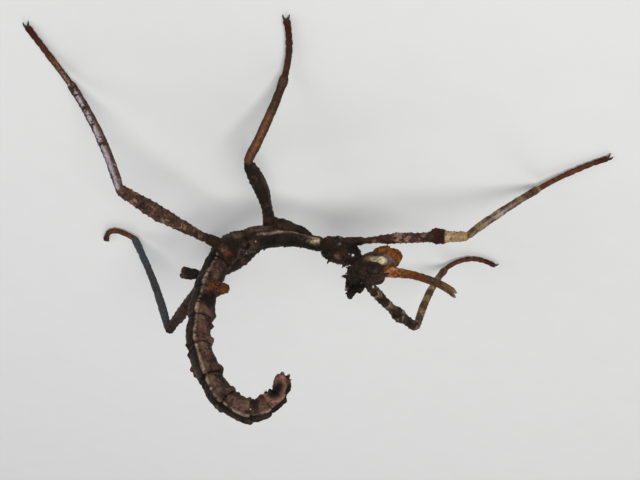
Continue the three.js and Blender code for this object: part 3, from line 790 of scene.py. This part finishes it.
def paint_abdomen(at):
    coat = at.brush(at.abdomen)
    blotch, speck, cloud = at.mottle
    theta, place = untwisted(at), abdomen_place(at)
    back = ramp(theta, -0.02, 0.2)
    under = 1 - ramp(theta, -0.15, -0.02)
    low_line = bell(theta + 0.85, 0.12)
    corner = ramp(place, 0.35, 0.92)
    shade = 1 - ramp(at.u, 8.6, 9.4)
    coat(GREEN_BLACK, 1.0)
    coat(CHOCOLATE, 0.25 + blotch)
    coat(CHOCOLATE, back)
    coat(PLUM, back * (0.75 + 0.5 * cloud + 0.3 * blotch))
    coat(ROSE, back * ramp(blotch + 0.6 * cloud, 0.0, 0.9) * 0.65)
    coat(OLIVE, back * ramp(blotch - 0.5 * cloud, 0.15, 0.8) * 0.45)
    coat(ROSE, back * ramp(at.u, 11.0, 11.6) * 0.35)
    coat(COAL, back * ramp(-blotch - 0.4 * cloud, 0.25, 0.8) * 0.6)
    # Painted shade: darker towards the top of the abdomen's back.
    coat(UMBER, ramp(theta, 0.75, 1.3) * (0.75 - 0.45 * corner))
    coat(DARK_RED, bell(theta - 0.75, 0.3) * ramp(cloud + speck, -0.2, 0.8) * 0.35)
    coat(COAL, shade * (0.45 - 0.4 * blotch))
    coat(COAL, bell(theta - 0.24, 0.1) * 0.45)
    coat(TAN, bell(theta - 0.05, 0.13) * (0.3 + 0.35 * corner + 0.5 * speck + 0.3 * blotch))
    coat(PALE_KEEL, bell(theta - 0.05, 0.07) * (0.2 + 0.8 * speck) * (1 - 0.5 * shade))
    coat(ROSE, low_line * (0.4 + 0.5 * blotch))
    # The underside's own dark green-black, deepened in part by painted shade.
    coat(GREEN_BLACK, under * (0.35 + 0.4 * cloud) * (1 - low_line))
    coat(COAL, under * ramp(-blotch - 0.5 * speck, 0.0, 0.6) * 0.8)
    coat(CHOCOLATE, under * ramp(speck - 0.4 * cloud, 0.2, 0.7) * 0.8)
    coat(COAL, bell(theta + 0.2, 0.13) * 0.75)
    coat(COAL, (bell(place, 0.035) + bell(place - 1, 0.02)) * 0.9)
    coat(DARK_RED, ramp(at.u, 12.5, 15) * 0.3)

    hollow, loop = tail_marks(at)
    tip = ramp(at.u, 13.7, 14.3)
    coat(UMBER, tip * (0.6 - 0.4 * speck))
    # Painted shade: the tail's hollows painted dark.
    coat(COAL, hollow * 1.4)
    coat(OLD_ROSE, loop * (0.8 + 0.4 * speck))
    # Painted shade under the tail's tip.
    coat(COAL, tip * under * 0.7)


def paint_rear_thorax(coat, u, theta, mottle):
    blotch, speck, cloud = mottle
    rear = ramp(u, 4.5, 5.1)
    coat(ROSE, rear * ramp(blotch + 0.5 * cloud, 0.0, 0.9) * 0.5)
    coat(COAL, rear * ramp(-speck, 0.2, 0.6) * 0.5)
    coat(RUSSET, bell(u - 6.75, 0.35) * bell(theta - 0.9, 0.7) * ramp(blotch, -0.6, 0.3) * 0.75)
    coat(GREEN_BLACK, rear * (1 - ramp(theta, -0.9, -0.3)) * 0.8)
    coat(MOSS, bell(u - 5.4, 1.3) * bell(theta + 0.7, 0.6) * ramp(blotch + speck, -0.2, 0.7) * 0.6)


def paint_middle_thorax(coat, u, theta, mottle):
    """A dark back, the pale line along the side, and the pale patch behind the pronotum."""
    blotch, speck, cloud = mottle
    middle = ramp(u, 1.95, 2.2) * (1 - ramp(u, 3.8, 4.4))
    coat(COAL, ramp(theta, 0.15, 0.4) * middle * (0.8 + 0.4 * cloud))
    line = theta - np.radians(np.interp(u, [2.0, 2.4, 3.1, 3.4, 3.65, 4.0], [0, -5, -8, 5, 20, 24]))
    coat(TAN, bell(line, 0.12) * middle * (0.7 + 0.6 * speck))
    coat(PALE_KEEL, bell(line, 0.07) * middle * (0.2 + 0.7 * speck))
    lit_streak = ramp(speck + 0.6 * blotch, 0.0, 0.7) * (1 - ramp(u, 2.5, 3.2))
    coat(TAN, bell(theta - 0.4, 0.16) * middle * lit_streak * 0.8)
    coat(ROSE, bell(u - 4.1, 0.5) * (1 - ramp(theta, -0.1, 0.3)) * (0.5 + 0.5 * speck))
    coat(CREAM, bell(u - 2.27, 0.16) * bell(theta - 0.5, 0.32) * (0.75 + 0.6 * speck))
    coat(CREAM, bell(u - 2.1, 0.1) * bell(theta - 0.15, 0.25) * (0.6 + 0.6 * speck))
    coat(BEIGE, bell(u - 2.25, 0.2) * bell(theta + 0.02, 0.16) * 0.9)
    coat(COAL, bell(u - 1.95, 0.08) * 0.9)


def paint_pronotum(coat, u, theta, mottle):
    blotch, speck, _ = mottle
    front = 1 - ramp(u, 1.85, 1.98)
    coat(UMBER, front)
    coat(CHOCOLATE, front * 0.7 * blotch)
    coat(COAL, front * ramp(-speck - 0.4 * blotch, 0.1, 0.6) * 0.8)
    coat(DARK_RED, bell(u - 0.55, 0.3) * bell(theta - 0.9, 0.5) * 0.7)
    coat(LILAC, bell(u - 0.75, 0.14) * bell(theta - 1.1, 0.25) * 0.7)
    coat(DARK_RED, bell(u - 1.55, 0.2) * bell(theta + 0.15, 0.5) * 0.6)


def paint_thorax(at):
    """The thorax, with the neck and the side plates coloured as one place along it each."""
    neck, plate = at.kind == "neck", at.tag == "plate"
    coat = at.brush(at.thorax | neck | plate)
    u = np.where(neck, 0.2, np.where(plate, 4.3, at.u))
    coat(UMBER, 1.0)
    coat(CHOCOLATE, 0.3 + 0.8 * at.mottle[0])
    for paint_stretch in (paint_rear_thorax, paint_middle_thorax, paint_pronotum):
        paint_stretch(coat, u, as_left(at.theta), at.mottle)


def paint_head(at):
    coat = at.brush(at.kind == "head")
    blotch, speck, _ = at.mottle

    def near(place, side, sizes):
        """Distance from a place on one side of the head, in parts of the sizes given."""
        return np.linalg.norm((at.points - in_head(mirrored(place, side))) / sizes, axis=1)

    coat(UMBER, 1.0)
    coat(CHOCOLATE, 0.25 + 0.7 * blotch)
    coat(COAL, (1 - ramp(at.u, 0.6, 1.6)) * (0.35 - 0.5 * speck))
    coat(DARK_RED, bell(at.u - 1.9, 0.6) * facing(at.theta, -90, 0.9) * 0.5)
    coat(CHOCOLATE, ramp(at.u, 1.6, 2.3) * 0.7)
    for side in (1, -1):
        cheek = bell(near((8.45, 0.75, 6.65), side, (0.36, 0.6, 0.32)), 0.9)
        jaw = bell(near((7.35, 0.9, 6.62), side, (0.42, 0.6, 0.2)), 0.9)
        patch = 1 - ramp(near((7.93, 0.88, 6.72), side, (0.5, 0.7, 0.27)), 0.6, 1.25)
        coat(LILAC, cheek * (0.8 + 0.4 * speck))
        coat(BEIGE, jaw * (0.6 + 0.4 * speck))
        coat(CREAM, patch * (0.7 + 0.5 * speck))
    low = (at.points[:, 0] - 7.4) * 0.45 - (at.points[:, 2] - 6.6) * 0.9
    mouth = ramp(low + 0.12 * speck, 0.58, 0.78)
    coat(ROSE, bell(low - 0.5, 0.12) * 0.5)
    coat(RUSSET, mouth)
    coat(ORANGE, mouth * (0.5 + 0.4 * speck))


def paint_growths(at):
    blotch, speck, _ = at.mottle
    tip = ramp(at.u + 0.25 * blotch, 0.55, 0.95)
    coats = {kind: at.brush(at.tag == kind) for kind in GROWTH_COLOURS}
    for kind, (base, end) in GROWTH_COLOURS.items():
        coats[kind](base, 1.0)
        coats[kind](end, tip)
    at.brush(at.kind == "spine")(TAN, ramp(at.u, 0.7, 1.0) * 0.5)
    coats["orange"](ORANGE, ramp(speck + 0.4 * blotch, 0.0, 0.8) * 0.5)
    coats["orange"](DARK_RED, ramp(at.u, 0.85, 1.0) * ramp(-speck, -0.2, 0.5))
    coats["tipped"](RED_BROWN, ramp(at.u + 0.3 * speck, 0.9, 1.1) * 0.7)
    coats["mouth"](ORANGE, 0.5 + 0.4 * speck)


def leg_brushes(at, kind, pair):
    """Brushes for one part of a pair of legs: for both legs, the left one and the right one."""
    part = (at.kind == kind) & (at.tag == pair)
    return at.brush(part), at.brush(part & at.left), at.brush(part & ~at.left)


def paint_thighs(at, band, edge):
    blotch, speck, cloud = at.mottle
    coat, left, right = leg_brushes(at, "femur", "hind")
    coat(CHOCOLATE, 0.8)
    coat(PLUM, 0.4 + 0.5 * cloud)
    left(STRAW, ramp(speck + 0.5 * blotch + 0.3 * band, 0.2, 0.9) * 0.7)
    coat(COAL, ramp(-speck - 0.5 * blotch - 0.3 * band, 0.2, 0.9) * 0.7)
    coat(RUSSET, edge * ramp(speck, -0.2, 0.5) * 0.6)
    coat(UMBER, (1 - ramp(at.u, 0.15, 0.35)) * 0.8)
    right(UMBER, 0.45)

    coat, _, _ = leg_brushes(at, "femur", "mid")
    coat(UMBER, 0.6)
    coat(DARK_RED, edge * ramp(speck + 0.5 * band, 0.1, 0.8) * 0.8)
    coat(RED_BROWN, ramp(blotch, 0.35, 0.8) * 0.5)

    _, left, right = leg_brushes(at, "femur", "front")
    right(TAN, ramp(1.1 * band + 0.9 * speck, 0.6, 1.5) * 0.8)
    right(OLIVE, ramp(cloud + 0.6 * blotch, 0.0, 0.8) * 0.5)
    right(ORANGE, ramp(blotch + speck, 0.7, 1.2) * 0.35)
    pale_marks = bell(at.s - 2.62, 0.28) + bell(at.s - 3.25, 0.2)
    club = ramp(at.u, 0.725, 0.755) * (1 - ramp(at.u, 0.822, 0.832))
    pale_end = ramp(at.u, 0.826, 0.836)
    left(PLUM, 0.2)
    left(ROSE, ramp(0.4 * band + speck + 0.7 * blotch, 0.2, 0.8) * 0.85)
    left(DARK_RED, ramp(-speck - blotch, 0.2, 0.8) * 0.6)
    left(DUSTY_ROSE, pale_marks * (0.5 + 0.9 * speck))
    left(DARK_RED, club)
    left(COAL, club * ramp(blotch, -0.5, 0.3) * 0.55)
    left(BEIGE, pale_end)
    left(CREAM, pale_end * ramp(speck + blotch, 0.0, 1.0) * 0.35)
    left(RED_BROWN, pale_end * ramp(-speck + 0.4 * blotch, 0.1, 0.6) * 0.75)
    left(UMBER, pale_end * facing(at.theta, -90, 0.7) * 0.9)


def paint_shins(at, band, edge, lit_streak):
    blotch, speck, cloud = at.mottle
    at.brush(at.kind == "tibia")(CHOCOLATE, 0.9)

    coat, left, right = leg_brushes(at, "tibia", "hind")
    dash = ramp(speck + 0.5 * blotch + 0.4 * band + 1.1 * (0.55 - at.u), -0.7, 0.1)
    # Painted highlight: a violet-grey streak on the lit side of the left hind shin.
    left(VIOLET_GREY, lit_streak * dash * (0.85 + 0.4 * speck))
    coat(RED_BROWN, edge * ramp(speck, -0.1, 0.5) * 0.8)
    left(VIOLET_GREY, ramp(blotch, 0.4, 0.9) * 0.4)
    right(SLATE, 0.75 + 0.3 * cloud)

    coat, _, _ = leg_brushes(at, "tibia", "mid")
    coat(RED_BROWN, 0.15 + 0.4 * blotch)
    # Painted highlight on the lit side of the middle shins, and painted shade on the other side.
    coat(RED_BROWN, (1 - ramp(at.u, 0.5, 0.75)) * lit_streak * 0.9)
    coat(COPPER, bell(at.u - 0.35, 0.25) * lit_streak * (0.5 + 0.6 * speck))
    coat(COAL, (1 - lit_streak) * (0.4 - 0.3 * speck))

    coat, left, _ = leg_brushes(at, "tibia", "front")
    coat(BEIGE, ramp(band + blotch + 0.6 * speck, -0.7, 0.5) * 0.75)
    # Painted highlight: cream flecks on the lit side of the front shins.
    coat(CREAM, lit_streak * ramp(blotch + 0.5 * speck, 0.0, 0.7) * 0.4)
    coat(OLIVE, ramp(cloud - 0.4 * speck, -0.2, 0.6) * 0.4)
    coat(CHOCOLATE, edge * ramp(speck + 0.3 * blotch, 0.0, 0.5) * 0.9)
    coat(RED_BROWN, ramp(-blotch - 0.5 * speck, 0.15, 0.6) * 0.85)
    left(VIOLET_GREY, bell(at.u - 0.45, 0.25) * facing(at.theta, 30, 0.4) * 0.5)
    coat(COAL, bell(at.u - 0.8, 0.04) * 0.7)


def paint_feet(at, edge, lit_streak):
    blotch, speck, _ = at.mottle
    coat = at.brush(at.kind == "tarsus")
    (hind, hind_left, _), (mid, _, _), (_, front_left, front_right) = (
        leg_brushes(at, "tarsus", pair) for pair in ("hind", "mid", "front"))
    coat(RED_BROWN, 0.75 + 0.3 * blotch)
    mid(COAL, 0.5 + 0.3 * blotch)
    # Painted highlight: tan near the ankle of the left hind foot, on its lit side.
    hind_left(TAN, lit_streak * (1 - ramp(at.u, 0.25, 0.42)) * 0.7 * (0.8 + speck))
    front_left(RUSSET, 0.45)
    for brush in (hind, mid, front_right):
        brush(DARK_RED, ramp(at.u, 0.4, 0.9) * 0.85)
    coat(DARK_RED, ramp(at.u, 0.75, 0.95) * 0.9)
    coat(COAL, edge * 0.35 + ramp(-speck, 0.3, 0.7) * 0.4)


def paint_legs(at):
    blotch, _, cloud = at.mottle
    coat = at.brush(np.isin(at.kind, ["coxa", "femur", "tibia", "tarsus"]))
    coat(UMBER, 1.0)
    coat(CHOCOLATE, 0.3 + 0.7 * blotch)
    band = np.cos(at.s * 2 * np.pi / 1.35 + 2.0 * cloud)
    edge = both_edges(at.theta, 0, 0.4)
    # Painted highlight: one side of each leg, where paler streaks stand for light falling on it.
    lit_streak = facing(at.theta, np.where(at.tag == "hind", 138, 78), 0.6)
    paint_thighs(at, band, edge)
    paint_shins(at, band, edge, lit_streak)
    paint_feet(at, edge, lit_streak)


def paint_feelers(at):
    blotch, speck, _ = at.mottle
    coat = at.brush(at.kind == "feeler")
    coat(RED_BROWN, 1.0)
    coat(RUSSET, 1 - ramp(at.u, 0.35, 0.7))
    coat(ORANGE, (1 - ramp(at.u, 0.08, 0.3)) * (0.35 + 0.5 * blotch))
    # Painted highlight: bright salmon specks near the root of each feeler.
    coat(SALMON, bell(at.u - 0.1, 0.1) * ramp(speck, 0.0, 0.5) * 0.7)
    coat(COAL, ramp(-speck, 0.2, 0.6) * 0.45)
    coat(CHOCOLATE, ramp(at.u, 0.35, 0.6) * (0.7 + 0.6 * speck))
    coat(KHAKI, ramp(at.u + 0.1 * speck, 0.6, 0.85) * 0.7)
    coat(TAN, ramp(at.u, 0.9, 1.0) * 0.7)


def paint_crevice_shade_and_glints(at):
    """Painted shade where the relief is low, and painted highlights: pale grains on the fore body and the
    glints.
    """
    # Painted shade: darker where the noise that also sinks the skin's relief is low, in its hollows.
    crevice = ramp(-at.coarse - at.fine, 0.1, 1.0)
    body = np.isin(at.kind, ["trunk", "head", "neck", "lobe", "spine"])
    at.brush(body)(COAL, crevice * 0.6)
    at.brush(~body)(COAL, crevice * 0.35)
    # Painted highlights: a few pale grains on the head and trunk stand for small glints on the tubercles.
    distance, number = grains(at.points, 0.3, 91)
    glint_grain = (1 - ramp(distance, 0.08, 0.18)) * (number > 0.9)
    at.brush((at.kind == "head") & (at.u < 2) | (at.kind == "trunk"))(CREAM, glint_grain * 0.8)
    for place in GLINTS:
        at.brush(True)(GLINT, bell(np.linalg.norm(at.points - place, axis=1), 0.06) * 1.3)


def paint_skin(at):
    for paint_part in (paint_abdomen, paint_thorax, paint_head, paint_growths, paint_legs,
                       paint_feelers, paint_crevice_shade_and_glints):
        paint_part(at)


# ---- pieces ----

def add_object(name, mesh):
    piece = bpy.data.objects.new(name, mesh)
    bpy.context.scene.collection.objects.link(piece)
    return piece


def faceted(name, points, faces):
    mesh = bpy.data.meshes.new(name)
    mesh.from_pydata([tuple(p) for p in points], [], faces)
    return add_object(name, mesh)


def in_metres(points):
    """The Blender places of some of the insect's points."""
    return (points + SHIFT) * MM


def vectors(items, name):
    """One vector of each of a mesh's elements, as an array."""
    flat = np.empty(len(items) * 3)
    items.foreach_get(name, flat)
    return flat.reshape(-1, 3)


def drop_specks(mesh):
    """Removes the loose specks left where a thorn's tip is thinner than a voxel."""
    ends = np.empty(len(mesh.edges) * 2, np.int32)
    mesh.edges.foreach_get("vertices", ends)
    a, b = ends.reshape(-1, 2).T
    group = np.arange(len(mesh.vertices))
    while (group[a] != group[b]).any():
        lowest = np.minimum(group[a], group[b])
        np.minimum.at(group, a, lowest)
        np.minimum.at(group, b, lowest)
        group = group[group]
    loose = np.flatnonzero(group != np.bincount(group).argmax())
    whole = bmesh.new()
    whole.from_mesh(mesh)
    whole.verts.ensure_lookup_table()
    bmesh.ops.delete(whole, geom=[whole.verts[i] for i in loose], context="VERTS")
    whole.to_mesh(mesh)
    whole.free()


def grow_skin(tubes):
    """Fuses the raw tubes into one closed, evenly meshed skin."""
    raw = faceted("raw_skin", *joined(tubes))
    fuse = raw.modifiers.new("fuse", "REMESH")
    fuse.mode = "VOXEL"
    fuse.voxel_size = VOXEL
    soften = raw.modifiers.new("soften", "SMOOTH")
    soften.factor = 0.5
    soften.iterations = 4
    mesh = bpy.data.meshes.new_from_object(raw.evaluated_get(bpy.context.evaluated_depsgraph_get()))
    bpy.data.objects.remove(raw)
    drop_specks(mesh)
    return mesh


def make_skin(tubes):
    mesh = grow_skin(tubes)
    points = vectors(mesh.vertices, "co")
    normals = vectors(mesh.vertex_normals, "vector")
    at = Skin(points, tubes)
    paint_skin(at)
    # The painted markings, together with the painted shade and highlights.
    layer = mesh.color_attributes.new("markings_and_painted_light", "FLOAT_COLOR", "POINT")
    layer.data.foreach_set("color", np.column_stack([at.colour, np.ones(len(points))]).ravel())
    points = points + normals * relief(at)[:, None]
    points[:, 2] = np.maximum(points[:, 2], 0)
    mesh.vertices.foreach_set("co", in_metres(points).ravel())
    mesh.update()
    mesh.shade_smooth()
    return add_object("skin", mesh)


def make_eye(name, side):
    """A slightly flattened ball, whose poles point left and right."""
    ball = bmesh.new()
    bmesh.ops.create_uvsphere(ball, u_segments=48, v_segments=32, radius=EYE_RADIUS * MM)
    stretch = Matrix.Diagonal((*EYE_STRETCH, 1)) @ Matrix.Rotation(math.pi / 2, 4, "X")
    ball.transform(Matrix.Translation(in_metres(eye_centre(side))) @ stretch)
    mesh = bpy.data.meshes.new(name)
    ball.to_mesh(mesh)
    ball.free()
    mesh.shade_smooth()
    return add_object(name, mesh)


def claw(toe, way, turn):
    """One short hooked claw of a foot, that turns away from the foot's heading."""
    start = toe + heading(way + turn * 1.5, 0) * 0.06 - heading(way, 0) * 0.06
    middle = start + heading(way + turn, 12) * 0.17
    tip = middle + heading(way + turn * 0.5, -28) * 0.15
    tip[2] = CLAW_TIP_HEIGHT
    sizes = tapered([(0, CLAW_RADIUS), (1, CLAW_RADIUS / 4)])
    return Tube("claw", bezier(start, middle, tip), sizes, step=0.04)


def make_claws(toes):
    points, faces = joined([claw(*toe, turn) for toe in toes for turn in (CLAW_SPREAD, -CLAW_SPREAD)])
    claws = faceted("claws", in_metres(points), faces)
    claws.data.shade_smooth()
    return claws


# ---- materials ----

def configure(node, **settings):
    """Sets a node's own settings and its sockets' values, with _ for a space in a name."""
    for key, value in settings.items():
        if hasattr(node, key):
            setattr(node, key, value)
        else:
            node.inputs[key.replace("_", " ")].default_value = value


class Nodes:
    """A new material, and short ways to build its nodes."""

    def __init__(self, name, **surface):
        self.material = bpy.data.materials.new(name)
        self.material.use_nodes = True
        self.tree = self.material.node_tree
        self.shader = self.tree.nodes["Principled BSDF"]
        self.place = self.add("ShaderNodeTexCoord").outputs["Object"]
        configure(self.shader, **surface)

    def add(self, kind, **settings):
        node = self.tree.nodes.new(kind)
        configure(node, **settings)
        return node

    def link(self, output, socket):
        self.tree.links.new(output, socket)

    def texture(self, kind, output, **settings):
        """A texture laid out in the piece's own coordinates."""
        node = self.add(kind, **settings)
        self.link(self.place, node.inputs["Vector"])
        return node.outputs[output]

    def noise(self, scale, detail, roughness=0.5):
        settings = {"Scale": scale, "Detail": detail, "Roughness": roughness}
        return self.texture("ShaderNodeTexNoise", "Fac", **settings)

    def cells(self, scale):
        return self.texture("ShaderNodeTexVoronoi", "Distance", Scale=scale)

    def spread(self, value, low, high):
        """The middle of a noise, stretched to run from low to high."""
        node = self.add("ShaderNodeMapRange", From_Min=0.3, From_Max=0.7, To_Min=low, To_Max=high)
        self.link(value, node.inputs["Value"])
        return node.outputs["Result"]

    def colour_between(self, value, dark, light, low=0.0, high=1.0):
        """Base colour from dark, where the value is low, to light, where it is high."""
        node = self.add("ShaderNodeValToRGB")
        first, last = node.color_ramp.elements
        first.color, first.position = (*dark, 1), low
        last.color, last.position = (*light, 1), high
        self.link(value, node.inputs["Fac"])
        self.link(node.outputs["Color"], self.shader.inputs["Base Color"])

    def bump(self, height, strength, distance):
        node = self.add("ShaderNodeBump", Strength=strength, Distance=distance)
        self.link(height, node.inputs["Height"])
        self.link(node.outputs["Normal"], self.shader.inputs["Normal"])


def skin_material():
    """The painted markings, with their painted shade and highlights, mottled and pitted more finely than
    the skin's points are spaced.
    """
    n = Nodes("cuticle", Specular_IOR_Level=0.1)
    mottle = n.spread(n.noise(9000, 6, 0.65), 0.5, 1.55)
    pores = n.cells(14000)
    fine = n.noise(24000, 4, 0.7)

    tint = n.add("ShaderNodeMix", data_type="RGBA", blend_type="MULTIPLY")
    tint.inputs["Factor"].default_value = 1.0
    n.link(n.add("ShaderNodeVertexColor", layer_name="markings_and_painted_light").outputs["Color"], tint.inputs["A"])
    n.link(mottle, tint.inputs["B"])
    n.link(tint.outputs["Result"], n.shader.inputs["Base Color"])

    height = n.add("ShaderNodeMath", operation="ADD")
    n.link(pores, height.inputs[0])
    n.link(fine, height.inputs[1])
    n.bump(height.outputs["Value"], 0.55, 0.03 * MM)
    n.link(n.spread(fine, 0.38, 0.72), n.shader.inputs["Roughness"])
    return n.material


def eye_material():
    n = Nodes("eye_facets", Roughness=0.45, Specular_IOR_Level=0.15)
    n.colour_between(n.noise(3500, 4), tone("120c08"), tone("35251a"), 0.35, 0.7)
    n.bump(n.cells(26000), 0.35, 0.01 * MM)
    return n.material


def claw_material():
    n = Nodes("claw_horn", Roughness=0.5)
    n.colour_between(n.noise(8000, 3), tone("160d09"), tone("3c1f14"))
    return n.material


def floor_material():
    n = Nodes("pale_floor", Roughness=0.9)
    n.colour_between(n.noise(400, 2), (0.86, 0.86, 0.84), (0.89, 0.89, 0.87))
    return n.material


# ---- assembly ----

tubes = body_tubes() + head_tubes()
toes = []
for pair in LEG_SIZES:
    for side in (1, -1):
        leg, toe = leg_tubes(pair, side)
        tubes += leg
        toes.append(toe)

skin = make_skin(tubes)
skin.data.materials.append(skin_material())
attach(skin, "root")
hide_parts(*[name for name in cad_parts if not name.startswith("eye")])

for side, name in ((1, "left"), (-1, "right")):
    eye = make_eye(f"eyeball_{name}", side)
    eye.data.materials.append(eye_material())
    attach(eye, "root")
    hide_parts(f"eye_{name}")

claws = make_claws(toes)
claws.data.materials.append(claw_material())
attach(claws, "root")

# ---- stage, light and camera ----

FLOOR_HALF = 2.0             # metres, as all of this section is
FLOOR_GAP = 0.00002          # so that the feet don't share the floor's plane

corners = [(x * FLOOR_HALF, y * FLOOR_HALF, 0) for x, y in ((-1, -1), (1, -1), (1, 1), (-1, 1))]
floor = faceted("floor", corners, [(0, 1, 2, 3)])
floor.location.z = -FLOOR_GAP
floor.data.materials.append(floor_material())

# Large soft lights that face the insect: name, place, size, power and colour.
WHITE = (1, 1, 1)
COOL = (0.95, 0.97, 1.0)
AIM = np.array([0, 0, 0.005])
LIGHTS = [("key", (0.10, 0.16, 0.22), 0.14, 0.54, WHITE),
          ("fill", (-0.22, 0.10, 0.12), 0.2, 0.16, COOL),
          ("back", (0.02, -0.22, 0.16), 0.2, 0.14, WHITE)]
for name, place, size, power, colour in LIGHTS:
    lamp = add_object(name, bpy.data.lights.new(name, "AREA"))
    lamp.data.size = size
    lamp.data.energy = power
    lamp.data.color = colour
    lamp.location = place
    lamp.rotation_euler = Vector(AIM - place).to_track_quat("-Z", "Y").to_euler()

world = bpy.data.worlds.new("studio")
world.use_nodes = True
world.node_tree.nodes["Background"].inputs["Color"].default_value = (*COOL, 1)
world.node_tree.nodes["Background"].inputs["Strength"].default_value = 0.23
bpy.context.scene.world = world

# The camera stands at the insect's front left, above it, and is rolled so that the insect hangs
# from the top of the picture. Its place is in the insect's millimetres.
CAMERA_PLACE = np.array([16.863, 52.367, 44.748])
CAMERA_RIGHT = (0.981, -0.1486, -0.1244)
CAMERA_UP = (-0.0087, 0.6074, -0.7944)
CAMERA_BACK = (0.1936, 0.7804, 0.5946)
FOCAL_PIXELS = 1046
IMAGE_WIDTH = 640
SENSOR_WIDTH = 36

camera = add_object("camera", bpy.data.cameras.new("camera"))
camera.data.sensor_width = SENSOR_WIDTH
camera.data.lens = FOCAL_PIXELS / IMAGE_WIDTH * SENSOR_WIDTH
camera.data.clip_start = 0.001
camera.data.clip_end = 10
axes = Matrix((CAMERA_RIGHT, CAMERA_UP, CAMERA_BACK)).transposed()
camera.matrix_world = Matrix.Translation(in_metres(CAMERA_PLACE)) @ axes.to_4x4()
bpy.context.scene.camera = camera
bpy.context.scene.view_settings.view_transform = "Standard"
